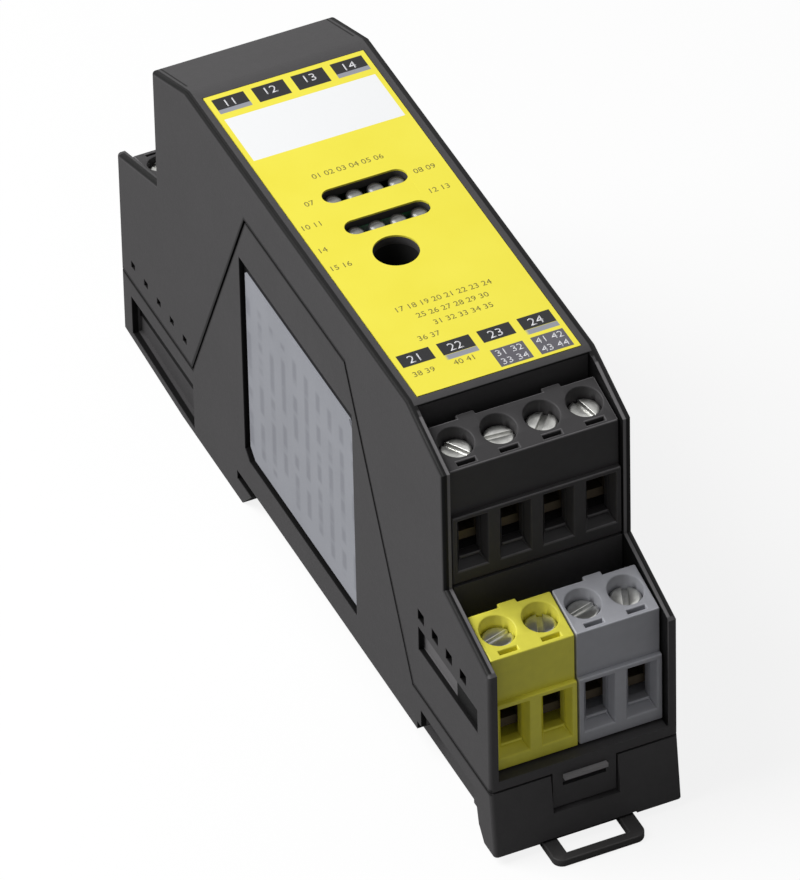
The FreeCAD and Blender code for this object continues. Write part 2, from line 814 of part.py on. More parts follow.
# Plug with screw terminals; its own Y runs inwards from the lower front face
def make_plug(label, poles, across, front, bottom, turn):
    plug = Piece(label)
    place(plug.body, across, front, bottom, turn)
    half = "(%g * pole_pitch - plug_gap)" % (poles / 2)
    profile = plug.sketch("YZ_Plane")
    polygon(profile, [
        ("0", "0"),
        ("0", "plug_front_height - plug_ledge_drop"),
        ("plug_ledge", "plug_front_height - plug_ledge_drop"),
        ("plug_ledge", "plug_front_height"),
        ("plug_back", "plug_front_height + plug_rise"),
        ("plug_back", "0"),
    ])
    plug.pad(profile, "2 * " + half, symmetric=True)
    nose = plug.sketch("YZ_Plane")
    rectangle(nose, "plug_back - plug_ledge", "plug_nose_low", "nose_end", "plug_nose_high")
    plug.pad(nose, "2 * (" + half + " - plug_nose_inset)", symmetric=True)
    tabs = plug.sketch("XZ_Plane", "0 - plug_back")
    for pair in range(poles // 2):
        middle = "%g * pole_pitch" % (2 * pair + 1 - poles / 2)
        rectangle(
            tabs,
            middle + " - plug_tab_width / 2", "plug_front_height + plug_rise - plug_tab_height",
            middle + " + plug_tab_width / 2", "plug_front_height + plug_rise",
        )
    plug.pad(tabs, "plug_tab_depth", reverse=True)

    pole = "%g * pole_pitch" % centred(0, poles)
    top = "plug_front_height + plug_rise"
    well = plug.sketch("XY_Plane", top)
    circle(well, pole, "screw_set_back", "well_diameter")
    well_cut = plug.pocket(well, top + " - seat_height")
    hole = plug.sketch("XY_Plane", "seat_height")
    rectangle(
        hole,
        pole + " - screw_hole / 2", "screw_set_back - screw_hole / 2",
        pole + " + screw_hole / 2", "screw_set_back + screw_hole / 2",
    )
    hole_cut = plug.pocket(hole, "seat_height - chamber_high")
    chamber = plug.sketch("XY_Plane", "chamber_high")
    rectangle(
        chamber,
        pole + " - chamber_width / 2", "screw_set_back - chamber_length / 2",
        pole + " + chamber_width / 2", "screw_set_back + chamber_length / 2",
    )
    chamber_cut = plug.pocket(chamber, "chamber_high - chamber_low")
    test = plug.sketch("XY_Plane", top)
    rectangle(
        test,
        pole + " - test_slot_width / 2", "test_slot_set_back - test_slot_length / 2",
        pole + " + test_slot_width / 2", "test_slot_set_back + test_slot_length / 2",
    )
    test_cut = plug.pocket(test, "plug_rise + test_slot_depth")
    mouth = plug.sketch("XZ_Plane")
    rectangle(mouth, pole + " - entry_width / 2", "entry_low", pole + " + entry_width / 2", "entry_high")
    throat = plug.sketch("XZ_Plane", "0 - entry_funnel")
    rectangle(
        throat,
        pole + " - wire_hole_width / 2", "entry_sill", pole + " + wire_hole_width / 2", "wire_hole_high",
    )
    funnel_cut = plug.funnel(mouth, throat)
    hatch = plug.sketch("XZ_Plane", "0 - entry_funnel")
    rectangle(
        hatch,
        pole + " - wire_hole_width / 2", "wire_hole_low", pole + " + wire_hole_width / 2", "wire_hole_high",
    )
    hatch_cut = plug.pocket(hatch, "screw_set_back - entry_funnel")
    nest = plug.sketch("YZ_Plane", pole)
    polygon(nest, [
        ("screw_set_back", "bar_low - contact_play"),
        ("bar_leg - contact_play", "bar_low - contact_play"),
        ("bar_leg - contact_play", "lower_blade_top - blade_thickness - contact_play"),
        ("nose_end + contact_play", "lower_blade_top - blade_thickness - contact_play"),
        ("nose_end + contact_play", "upper_blade_low + blade_thickness + contact_play"),
        ("leg_back + contact_play", "upper_blade_low + blade_thickness + contact_play"),
        ("leg_back + contact_play", "bar_top + contact_play"),
        ("screw_set_back", "bar_top + contact_play"),
    ])
    nest_cut = plug.pocket(nest, "bar_width + 2 * contact_play", symmetric=True)
    cuts = [well_cut, hole_cut, chamber_cut, test_cut, funnel_cut, hatch_cut, nest_cut]
    plug.repeat(cuts, "pole_pitch", poles)


# Contacts of one plug: a bar under each screw that ends in two blades round the pin
def make_contacts(label, poles, across, front, bottom, turn):
    members = []
    for i in range(poles):
        contact = Piece("%s_%d" % (label, i + 1), alone=False)
        drawing = contact.sketch("YZ_Plane", "%g * pole_pitch" % centred(i, poles))
        polygon(drawing, [
            ("bar_start", "bar_low"),
            ("bar_leg", "bar_low"),
            ("bar_leg", "lower_blade_top - blade_thickness"),
            ("blade_end", "lower_blade_top - blade_thickness"),
            ("blade_end", "lower_blade_top"),
            ("leg_back", "lower_blade_top"),
            ("leg_back", "upper_blade_low"),
            ("blade_end", "upper_blade_low"),
            ("blade_end", "upper_blade_low + blade_thickness"),
            ("leg_back", "upper_blade_low + blade_thickness"),
            ("leg_back", "bar_top"),
            ("bar_start", "bar_top"),
        ])
        contact.pad(drawing, "bar_width", symmetric=True)
        members.append(contact.body)
    place(group(label, members), across, front, bottom, turn)


# Terminal screw, standing over its contact bar with its head in the well
def make_screw(label, across, along, bottom, turn):
    screw = Piece(label)
    place(screw.body, across, along, bottom, turn)
    profile = screw.sketch("XZ_Plane")
    polygon(profile, [
        ("0", "bar_top + screw_head_gap"),
        ("screw_shank / 2", "bar_top + screw_head_gap"),
        ("screw_shank / 2", "screw_low"),
        ("screw_head / 2", "screw_low"),
        ("screw_head / 2", "screw_top - screw_edge"),
        ("screw_head / 2 - screw_edge", "screw_top"),
        ("0", "screw_top"),
    ])
    screw.spin(profile, "V_Axis")
    slot = screw.sketch("XY_Plane", "screw_top")
    rectangle(slot, "0 - screw_head", "0 - driver_slot_width / 2", "screw_head", "driver_slot_width / 2")
    screw.pocket(slot, "driver_slot_depth")


# Clamp: a cage round the contact bar that rises when its screw is turned
def make_clamp(label, across, along, bottom):
    clamp = Piece(label)
    place(clamp.body, across, along, bottom)
    frame = clamp.sketch("XZ_Plane")
    window = "clamp_low + clamp_jaw"
    rectangle(frame, "0 - clamp_width / 2", "clamp_low", "clamp_width / 2", "clamp_top")
    rectangle(
        frame,
        "clamp_side - clamp_width / 2", window, "clamp_width / 2 - clamp_side", window + " + clamp_window",
    )
    clamp.pad(frame, "clamp_length", symmetric=True)
    hole = clamp.sketch("XY_Plane", "clamp_top")
    circle(hole, "0", "0", "clamp_hole")
    clamp.pocket(hole, "clamp_head")


# Header: an open shroud that takes a plug's nose
def make_header(label, start, front, bottom, turn):
    header = Piece(label)
    place(header.body, "0", front, bottom, turn)
    outline = header.sketch("YZ_Plane")
    rectangle(outline, start, "header_low", "header_end", "header_high")
    header.pad(outline, "2 * header_half", symmetric=True)
    mouth = header.sketch("XZ_Plane", "0 - (" + start + ")")
    rectangle(
        mouth,
        "header_wall - header_half", "plug_nose_low - slide_gap",
        "header_half - header_wall", "plug_nose_high + slide_gap",
    )
    header.pocket(mouth, "header_floor - " + start)
    hole = header.sketch("XZ_Plane", "0 - header_floor")
    reach = "(pin_size / 2 + pin_slack)"
    first = "%g * pole_pitch" % centred(0, ROW_POLES)
    rectangle(
        hole,
        first + " - " + reach, "pin_height - " + reach, first + " + " + reach, "pin_height + " + reach,
    )
    hole_cut = header.pocket(hole, "header_back")
    header.repeat([hole_cut], "pole_pitch", ROW_POLES)


# Header pins: straight through the shroud, then sideways to the main board
def make_pins(label, front, bottom, turn):
    board_low, board_high = ("board_left", "board_right")
    if turn:
        board_low, board_high = ("0 - board_right", "0 - board_left")
    members = []
    spots = ["%g * pole_pitch" % centred(i, ROW_POLES) for i in range(ROW_POLES)]
    below = [i for i in range(ROW_POLES) if number(spots[i]) < number(board_low)]
    for i, middle in enumerate(spots):
        pin = Piece("%s_%d" % (label, i + 1), alone=False)
        rank = len(below) - 1 - i if i in below else i - len(below)
        bend = "(header_end + pin_tail + %d * pin_step)" % rank
        plan = pin.sketch("XY_Plane", "pin_height - pin_size / 2")
        near, far, target = middle + " - pin_size / 2", middle + " + pin_size / 2", board_low
        if i not in below:
            near, far, target = far, near, board_high
        polygon(plan, [
            (near, "header_floor - pin_reach"),
            (far, "header_floor - pin_reach"),
            (far, bend),
            (target, bend),
            (target, bend + " + pin_size"),
            (near, bend + " + pin_size"),
        ])
        pin.pad(plan, "pin_size")
        members.append(pin.body)
    place(group(label, members), "0", front, bottom, turn)


# Rail foot: lip under the rail, flanged slide and pull loop
def make_foot():
    foot = Piece("rail_foot")
    half = "foot_width / 2"
    lip = foot.sketch("XY_Plane", "foot_bottom")
    rectangle(lip, "0 - " + half, "0 - foot_stop - foot_lip_reach", half, "0 - foot_tip")
    foot.pad(lip, "foot_lip")
    slide = foot.sketch("XY_Plane", "foot_bottom")
    rectangle(slide, "0 - " + half, "0 - foot_tail_start", half, "0 - foot_stop")
    foot.pad(slide, "foot_height")
    flanges = foot.sketch("XY_Plane", "foot_bottom + foot_flange_low")
    rectangle(
        flanges,
        "0 - " + half + " - foot_flange", "0 - foot_tail_start",
        half + " + foot_flange", "0 - foot_window_start",
    )
    foot.pad(flanges, "foot_flange_height")
    tail = foot.sketch("XY_Plane", "foot_bottom")
    rectangle(tail, "0 - " + half, "0 - foot_end", half, "loop_bar - foot_tail_start")
    tail_pad = foot.pad(tail, "foot_tail_height")
    end = number("foot_end")
    side = number(half)
    foot.round(tail_pad, "loop_round", lambda spot: (
        abs(spot.y + end) < TINY and abs(abs(spot.x) - side) < TINY))
    holes = foot.sketch("XY_Plane", "0")
    rectangle(
        holes,
        "loop_side - " + half, "loop_bar - foot_end",
        half + " - loop_side", "loop_bar + loop_opening - foot_end",
    )
    rectangle(
        holes,
        "0 - foot_window_half", "0 - foot_window_end", "foot_window_half", "0 - foot_window_start",
    )
    foot.pocket(holes, "seat_depth")


# Spring of the foot: a steel bow between the foot's window and the base's post
def make_spring():
    outer = doc.addObject("Part::Cylinder", "spring_outer")
    bind(outer, Radius="spring_rise", Height="spring_height")
    outer.Angle = HALF_TURN
    inner = doc.addObject("Part::Cylinder", "spring_inner")
    bind(inner, Radius="spring_rise - spring_thickness", Height="spring_height")
    bow = node(doc.addObject("Part::Cut", "foot_spring"), "foot_spring")
    bow.Base = outer
    bow.Tool = inner
    place(bow, "0", "0 - foot_window_start - snug_gap", "foot_bottom + spring_low", HALF_TURN)


# Films: the front label and the type label
def make_labels():
    front = Piece("front_label")
    film = front.sketch("XY_Plane", "crown_height - label_recess")
    rectangle(
        film,
        "label_margin - label_half", "label_margin - label_near",
        "label_half - label_margin", "label_far - label_margin",
    )
    front.pad(film, "film_thickness")
    cut_front(front, "crown_height + film_thickness", "2 * film_thickness + label_recess")

    side = Piece("type_label")
    plate = side.sketch("YZ_Plane", "plate_recess_depth - half_width")
    low = "plate_recess_low + plate_margin"
    high = "plate_recess_high - plate_top_margin"
    near = "plate_margin - plate_recess_near"
    far = "plate_recess_far - plate_margin"
    polygon(plate, [
        (near, low),
        (far + " - plate_corner", low),
        (far, low + " + plate_corner"),
        (far, high),
        (near + " + type_label_corner", high),
        (near, high + " - type_label_corner"),
    ])
    side.pad(plate, "film_thickness", reverse=True)


# Circuit boards and the strip that joins them
def make_boards():
    board = Piece("main_board")
    outline = board.sketch("YZ_Plane", "board_across")
    polygon(outline, [
        ("0 - board_low_end", "base_floor"),
        ("board_low_end", "base_floor"),
        ("board_low_end", "board_step"),
        ("board_high_far", "board_step"),
        ("board_high_far", "board_top"),
        ("0 - board_high_near", "board_top"),
        ("0 - board_high_near", "board_step"),
        ("0 - board_low_end", "board_step"),
    ])
    board.pad(outline, "board_thickness", symmetric=True)

    front = Piece("front_board")
    plate = front.sketch("XY_Plane", "front_board_low")
    rectangle(plate, "0 - front_board_half", "0 - front_board_near", "front_board_half", "front_board_far")
    circle(plate, "socket_across", "socket_along", "socket_outer + 2 * snug_gap")
    front.pad(plate, "board_thickness")

    link = Piece("board_link")
    strip = link.sketch("XY_Plane", "front_board_low")
    rectangle(strip, "board_left - link_width", "link_near", "board_left", "link_far")
    link.pad(strip, "link_height", reverse=True)


# Chip in a flat package with two rows of leads, on the board's left face
def make_chip(label, length, width, along, up):
    chip = Piece(label)
    place(chip.body, "board_left", along, up)
    case = chip.sketch("YZ_Plane")
    rectangle(case, "0 - %s / 2" % length, "0 - %s / 2" % width, length + " / 2", width + " / 2")
    chip.pad(case, "chip_height", reverse=True)
    count = int(number(length) / number("lead_pitch"))
    start = "0 - %g * lead_pitch - lead_width / 2" % ((count - 1) / 2)
    leads = chip.sketch("YZ_Plane")
    end = start + " + lead_width"
    for row in ("0 - %s / 2" % width, "%s / 2" % width):
        rectangle(leads, start, row + " - lead_reach", end, row + " + lead_reach")
    lead_pad = chip.pad(leads, "lead_height", reverse=True)
    chip.repeat([lead_pad], "lead_pitch", count, "Y_Axis")


# Round parts that stand on the board's left face, turned about their own axis
def make_turned(label, profile, along, up, pitch):
    members = []
    for i in range(PAIR):
        part = Piece("%s_%d" % (label, i + 1), alone=False)
        outline = part.sketch("XZ_Plane")
        polygon(outline, profile)
        part.spin(outline, "H_Axis")
        place(part.body, "board_left", "%s + %d * %s" % (along, i, pitch), up, HALF_TURN)
        members.append(part.body)
    group(label, members)


# Output drivers: flat power packages on the board's right face
def make_drivers():
    members = []
    for i in range(PAIR):
        case = doc.addObject("Part::Box", "output_driver_%d" % (i + 1))
        bind(case, Length="driver_height", Width="driver_length", Height="driver_width")
        place(case, "board_right", "driver_along + %d * driver_pitch" % i, "driver_up")
        members.append(case)
    group("output_drivers", members)


# Indicator lights: a round lens with a bevelled end for each place in a slot
def make_lights(label, along):
    members = []
    for i in range(ROW_LIGHTS):
        stem = doc.addObject("Part::Cylinder", "%s_stem_%d" % (label, i + 1))
        end = doc.addObject("Part::Cone", "%s_end_%d" % (label, i + 1))
        lens = doc.addObject("Part::Fuse", "%s_lens_%d" % (label, i + 1))
        shoulder = "crown_height - indicator_recess - indicator_bevel"
        radius = "indicator_diameter / 2"
        bind(stem, Radius=radius, Height=shoulder + " - front_board_high")
        bind(end, Radius1=radius, Radius2=radius + " - indicator_bevel", Height="indicator_bevel")
        spot = "%g * indicator_pitch" % centred(i, ROW_LIGHTS)
        place(stem, spot, along, "front_board_high")
        place(end, spot, along, shoulder)
        lens.Base = stem
        lens.Tool = end
        members.append(lens)
    group(label, members)


# Addressing socket under the round opening, and its centre contact
def make_socket():
    socket = Piece("addressing_socket")
    place(socket.body, "socket_across", "socket_along", "socket_low")
    wall = socket.sketch("XY_Plane")
    circle(wall, "0", "0", "socket_outer")
    socket.pad(wall, "socket_depth")
    bore = socket.sketch("XY_Plane", "socket_depth")
    circle(bore, "0", "0", "socket_bore")
    socket.pocket(bore, "socket_bore_depth")
    neck = socket.sketch("XY_Plane", "socket_depth - socket_bore_depth")
    circle(neck, "0", "0", "socket_neck")
    socket.pocket(neck, "socket_neck_depth")
    contact = node(doc.addObject("Part::Cylinder", "addressing_contact"), "addressing_contact")
    bind(contact, Radius="socket_pin / 2", Height="socket_neck_depth - snug_gap")
    place(contact, "socket_across", "socket_along", "crown_inside - socket_bore_depth - socket_neck_depth")


# One plug with its contacts, screws and clamps
def make_terminal(name, poles, across, outward, front, bottom):
    turn = HALF_TURN if outward > 0 else 0
    sign = "" if outward > 0 else "0 - "
    seat = sign + front
    along = front + " - screw_set_back" if outward > 0 else "screw_set_back - " + front
    make_plug(name + "_plug", poles, across, seat, bottom, turn)
    make_contacts(name + "_contacts", poles, across, seat, bottom, turn)
    for i in range(poles):
        spot = "%s + %g * pole_pitch" % (across, centred(i, poles))
        make_screw("%s_screw_%d" % (name, i + 1), spot, along, bottom, SLOT_TURN * (i + poles) % HALF_TURN)
        make_clamp("%s_clamp_%d" % (name, i + 1), spot, along, bottom)


make_base()
make_hood()
make_labels()
make_boards()
make_chip("controller_chip", "controller_length", "controller_width", "controller_along", "controller_up")
make_chip("bus_chip", "bus_chip_length", "bus_chip_width", "bus_chip_along", "bus_chip_up")
make_turned(
    "decoupling_coils",
    [
        ("0", "0"),
        ("0", "coil_diameter / 2"),
        ("coil_height", "coil_diameter / 2"),
        ("coil_height", "0"),
    ],
    "coil_along", "coil_up", "coil_pitch",
)
make_turned(
    "buffer_capacitors",
    [
        ("0", "0"),
        ("0", "capacitor_diameter / 2"),
        ("capacitor_length - capacitor_round", "capacitor_diameter / 2"),
        ("capacitor_length", "capacitor_diameter / 2 - capacitor_round"),
        ("capacitor_length", "0"),
    ],
    "capacitor_along", "capacitor_up", "capacitor_pitch",
)
make_drivers()
make_lights("safety_lights", "first_row")
make_lights("status_lights", "second_row")
make_socket()
make_header("near_upper_header", "upper_header_front", "0 - upper_front", "upper_plug_bottom", 0)
make_header("near_lower_header", "lower_header_front", "0 - lower_front", "lower_plug_bottom", 0)
make_header("far_lower_header", "lower_header_front", "lower_front", "lower_plug_bottom", HALF_TURN)
make_pins("near_upper_pins", "0 - upper_front", "upper_plug_bottom", 0)
make_pins("near_lower_pins", "0 - lower_front", "lower_plug_bottom", 0)
make_pins("far_lower_pins", "lower_front", "lower_plug_bottom", HALF_TURN)
make_foot()
make_spring()
make_terminal("near_upper", ROW_POLES, "0", -1, "upper_front", "upper_plug_bottom")
make_terminal("near_left", HALF_ROW, "0 - pole_pitch", -1, "lower_front", "lower_plug_bottom")
make_terminal("near_right", HALF_ROW, "pole_pitch", -1, "lower_front", "lower_plug_bottom")
make_terminal("far_lower", ROW_POLES, "0", 1, "lower_front", "lower_plug_bottom")

doc.recompute()
for item in doc.Objects:
    if "Invalid" in item.State or "Error" in item.State:
        raise RuntimeError("%s did not build" % item.Label)
for item in NODES:
    if item.Shape.isNull() or not item.Shape.isValid():
        raise RuntimeError("%s has no sound shape" % item.Label)

os.makedirs("parts", exist_ok=True)
for item in NODES:
    item.Shape.exportStep("parts/%s.step" % item.Label)
    print("%-24s %2d solids %9.2f mm3" % (item.Label, len(item.Shape.Solids), item.Shape.Volume))
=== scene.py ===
# %% [markdown]
# # A slim safety module for a cabinet rail
# The real module is a set of mouldings that snap together: a base with a rail hook and a sprung foot, a
# stepped hood, four plug-in terminal blocks and a printed film on the front. Its construction is loaded
# here as a fixed frame at real size. This lesson adds what the eye needs: rolled edges on the mouldings,
# slotted screws, lenses, printed fields and the finish of every surface. The box of the frame is noted
# first, because nothing that is added may grow out of it.

# %% Load the frame
import json
import math
from functools import reduce

import bmesh
import bpy
import numpy as np
from mathutils import Matrix, Vector


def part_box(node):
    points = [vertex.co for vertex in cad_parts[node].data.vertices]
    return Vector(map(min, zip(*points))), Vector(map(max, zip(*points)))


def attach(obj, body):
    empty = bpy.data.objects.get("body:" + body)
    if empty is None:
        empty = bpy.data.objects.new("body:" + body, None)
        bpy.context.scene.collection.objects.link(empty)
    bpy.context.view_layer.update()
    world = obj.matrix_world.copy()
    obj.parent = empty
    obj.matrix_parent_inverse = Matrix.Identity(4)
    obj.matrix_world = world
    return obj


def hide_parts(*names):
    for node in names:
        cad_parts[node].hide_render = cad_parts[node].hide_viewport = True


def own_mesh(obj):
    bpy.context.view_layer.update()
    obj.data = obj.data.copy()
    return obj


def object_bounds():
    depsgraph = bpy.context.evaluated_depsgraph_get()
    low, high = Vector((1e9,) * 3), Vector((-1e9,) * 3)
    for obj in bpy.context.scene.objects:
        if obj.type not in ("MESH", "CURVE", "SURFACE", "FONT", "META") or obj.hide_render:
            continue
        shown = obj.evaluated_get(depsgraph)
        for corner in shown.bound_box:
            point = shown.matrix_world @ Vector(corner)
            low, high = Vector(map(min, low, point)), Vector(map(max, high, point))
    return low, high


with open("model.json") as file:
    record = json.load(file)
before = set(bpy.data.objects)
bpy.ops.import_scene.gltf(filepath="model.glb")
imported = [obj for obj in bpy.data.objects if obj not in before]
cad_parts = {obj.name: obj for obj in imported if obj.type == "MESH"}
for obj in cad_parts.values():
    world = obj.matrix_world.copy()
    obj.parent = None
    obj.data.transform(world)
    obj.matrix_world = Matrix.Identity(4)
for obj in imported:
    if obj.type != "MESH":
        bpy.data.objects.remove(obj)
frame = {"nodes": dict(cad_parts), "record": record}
cad_box = [list(map(float, corner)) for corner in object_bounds()]
MM = 0.001

# %% [markdown]
# ## The camera
# The picture was taken from above the near end with a long lens, so the module shows its front, its left
# side and its near end at once. A camera could be dragged until it looks right, but here its angles,
# distance and focal length are written down, and the three axes of the camera are worked out from them. The
# small shift puts the module where it lies in the frame.

# %% Camera
PICTURE = (800, 880)
PICTURE_CENTRE = (390.957, 400.333)
FOCAL_PIXELS = 12190.2
AZIMUTH, ELEVATION, ROLL = np.radians((-23.809, 40.449, 1.387))
DISTANCE = 1.34543
AIM = np.array((0, 0, 19.6)) * MM

sideways = np.array((math.cos(AZIMUTH), math.sin(AZIMUTH), 0))
back = np.array((
    math.sin(AZIMUTH) * math.cos(ELEVATION),
    -math.cos(AZIMUTH) * math.cos(ELEVATION),
    math.sin(ELEVATION),
))
upward = np.cross(back, sideways)
axes = np.array((
    math.cos(ROLL) * sideways - math.sin(ROLL) * upward,
    math.sin(ROLL) * sideways + math.cos(ROLL) * upward,
    back,
))
optics = bpy.data.cameras.new("studio_camera")
optics.sensor_width = 36
optics.lens = FOCAL_PIXELS * optics.sensor_width / max(PICTURE)
optics.shift_x = (PICTURE[0] / 2 - PICTURE_CENTRE[0]) / max(PICTURE)
optics.shift_y = (PICTURE_CENTRE[1] - PICTURE[1] / 2) / max(PICTURE)
camera = bpy.data.objects.new("studio_camera", optics)
camera.matrix_world = Matrix.Translation(AIM + DISTANCE * back) @ Matrix(axes.T.tolist()).to_4x4()
bpy.context.scene.collection.objects.link(camera)
bpy.context.scene.camera = camera
bpy.context.scene.view_settings.view_transform = "Standard"
print("lens of %.1f mm" % optics.lens)

# %% [markdown]
# ## Small helpers
# New pieces are grids of points, worked out as whole arrays: one parameter runs along the rows and the
# other along the columns. `grid_faces` numbers the quads of such a grid, and can close it into a tube.
# `points_of` reads the points of a mesh back as an array, `weld` merges those that lie on each other, and
# `placed` puts a new object into the scene. `add_piece` puts points and faces into a mesh, welds seams and
# poles, and lets the piece ride on a body of the frame.

# %% Mesh helpers
WELD = 1e-7


def grid_faces(rows, columns, closed):
    """Quads between neighbouring points of a grid: each joins (i, j), (i, j+1), (i+1, j+1) and (i+1, j)."""
    index = np.arange(rows * columns).reshape(rows, columns)
    after = np.roll(index, -1, axis=1)
    if not closed:
        index, after = index[:, :-1], after[:, :-1]
    return np.stack((index[:-1], after[:-1], after[1:], index[1:]), axis=-1).reshape(-1, 4)


def points_of(mesh):
    """The points of a mesh, one row for each."""
    points = np.empty(len(mesh.vertices) * 3)
    mesh.vertices.foreach_get("co", points)
    return points.reshape(-1, 3)


def weld(mesh):
    """Merges points that lie on each other."""
    work = bmesh.new()
    work.from_mesh(mesh)
    bmesh.ops.remove_doubles(work, verts=work.verts, dist=WELD)
    work.to_mesh(mesh)
    work.free()


def placed(name, data):
    """A new object in the scene."""
    thing = bpy.data.objects.new(name, data)
    bpy.context.scene.collection.objects.link(thing)
    return thing


def add_piece(name, parts, body):
    """Makes one object of several (points, faces) parts; parts that share points are welded."""
    starts = np.cumsum([0] + [len(points) for points, faces in parts[:-1]])
    points = np.concatenate([points for points, faces in parts])
    faces = [face for start, (_, part) in zip(starts, parts) for face in (part + start).tolist()]
    mesh = bpy.data.meshes.new(name)
    mesh.from_pydata(points.tolist(), [], faces)
    weld(mesh)
    mesh.shade_smooth()
    piece = placed(name, mesh)
    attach(piece, body)
    return piece


body_of = {
    node: body
    for body, nodes in frame["record"]["behaviour"]["bodies"].items()
    for node in nodes
}
slot_of = {part["node"]: part["material_slot"] for part in frame["record"]["subparts"]}
print(len(body_of), "nodes have a body,", len(set(slot_of.values())), "finishes are needed")

# %% [markdown]
# ## Shader maths as plain expressions
# A finish is a tree of nodes, and wiring each sum by hand hides what it means. `Value` wraps one socket, so
# that `0.5 + 0.1 * grain` adds the Math nodes by itself. `Nodes` adds any other node in one call: its
# settings first, then the numbers or links of its sockets. Colours are written as a screen counts them, and
# a mask is 1 where something lies and 0 elsewhere.

# %% Socket class
class Value:
    """One number that changes over a surface; arithmetic on it adds Math nodes."""

    def __init__(self, nodes, socket):
        self.nodes = nodes
        self.socket = socket

    def math(self, operation, first, second=0.0, clamp=False):
        settings = {"operation": operation, "use_clamp": clamp}
        return self.nodes.add("ShaderNodeMath", settings, {0: first, 1: second})

    def __add__(self, other):
        return self.math("ADD", self, other)

    def __radd__(self, other):
        return self.math("ADD", other, self)

    def __sub__(self, other):
        return self.math("SUBTRACT", self, other)

    def __rsub__(self, other):
        return self.math("SUBTRACT", other, self)

    def __mul__(self, other):
        return self.math("MULTIPLY", self, other)

    def __rmul__(self, other):
        return self.math("MULTIPLY", other, self)

    def __truediv__(self, other):
        return self.math("DIVIDE", self, other)

    def size(self):
        return self.math("ABSOLUTE", self)

    def part(self):
        return self.math("FRACT", self)

    def limited(self):
        return self.math("ADD", self, 0.0, clamp=True)

    def largest(self, other):
        return self.math("MAXIMUM", self, other)

    def smallest(self, other):
        return self.math("MINIMUM", self, other)


print("methods of a value:", *(name for name in vars(Value) if not name.startswith("_")))

# %% Node class
class Nodes:
    """Adds nodes to one tree."""

    def __init__(self, tree):
        self.tree = tree
        tree.nodes.clear()

    def add(self, kind, settings, sockets, output=0):
        """One node: settings first, then the values or links of its sockets."""
        made = self.tree.nodes.new(kind)
        for key, value in settings.items():
            setattr(made, key, value)
        for key, value in sockets.items():
            if isinstance(value, Value):
                self.tree.links.new(value.socket, made.inputs[key])
            else:
                made.inputs[key].default_value = value
        return Value(self, made.outputs[output]) if made.outputs else None

    def blend(self, factor, first, second):
        """Goes from one colour to another; the node has them at its sockets 6, 7 and 2."""
        return self.add("ShaderNodeMix", {"data_type": "RGBA"}, {0: factor, 6: first, 7: second}, 2)

    def place(self):
        """The point on the piece, in metres."""
        return self.add("ShaderNodeTexCoord", {}, {}, "Object")

    def millimetres(self):
        """The point on the piece as three numbers, in millimetres."""
        sockets = {0: self.place(), "Scale": 1 / MM}
        scaled = self.add("ShaderNodeVectorMath", {"operation": "SCALE"}, sockets)
        return [self.add("ShaderNodeSeparateXYZ", {}, {0: scaled}, axis) for axis in "XYZ"]

    def noise(self, vector, scale, detail=2.0):
        """Soft noise between 0 and 1, with so many lumps in a metre."""
        return self.add("ShaderNodeTexNoise", {}, {"Vector": vector, "Scale": scale, "Detail": detail})

    def bump(self, height, distance, strength=1.0):
        """Turns a height into a bent normal; the distance is the depth in metres."""
        sockets = {"Height": height, "Distance": distance, "Strength": strength}
        return self.add("ShaderNodeBump", {}, sockets)


print("methods of a tree:", *(name for name in vars(Nodes) if not name.startswith("_")))

# %% Colours and masks
SOFT = 0.04


def paint(red, green, blue):
    """A colour as screens count it, 0 to 255, turned into the linear numbers that shaders want."""
    share = np.array((red, green, blue)) / 255
    linear = np.where(share <= 0.04045, share / 12.92, ((share + 0.055) / 1.055) ** 2.4)
    return (*linear.tolist(), 1.0)


def above(value, low, soft=SOFT):
    """0 up to a limit and 1 beyond it, going over within a soft edge."""
    return ((value - low) / soft).limited()


def below(value, high, soft=SOFT):
    """1 up to a limit and 0 beyond it."""
    return ((high - value) / soft).limited()


def inside(value, low, high, soft=SOFT):
    """1 between two limits and 0 outside them."""
    return above(value, low, soft) * below(value, high, soft)


print("white is", paint(255, 255, 255))

# %% [markdown]
# ## Stage and light
# The module lies in a white studio under one large soft lamp above its left side. A floor that is as bright
# as the white behind it would wash out the black plastic, so both ask what kind of ray meets them: they are
# white to the camera, and the sky is white in reflections too, for the sake of the screws. To all other
# rays they are grey, which keeps the shade on the near end and a soft shadow on the floor.

# %% Floor
FLOOR_REACH = 3.0
FLOOR_BOUNCE = 0.36
FLOOR_WHITE = 0.86


def any_ray(nodes, kinds):
    """1 for a ray of one of the kinds named, 0 for all others."""
    return reduce(Value.largest, [nodes.add("ShaderNodeLightPath", {}, {}, kind) for kind in kinds])


def grey(level):
    """A grey of one level, in linear numbers."""
    return (level, level, level, 1.0)


steps = np.array((-1.0, 1.0)) * FLOOR_REACH
across, along = np.meshgrid(steps, steps)
floor_points = np.stack((across, along, np.full((2, 2), cad_box[0][2])), axis=-1).reshape(-1, 3)
floor_mesh = bpy.data.meshes.new("studio_floor")
floor_mesh.from_pydata(floor_points.tolist(), [], grid_faces(2, 2, False).tolist())
floor = placed("studio_floor", floor_mesh)

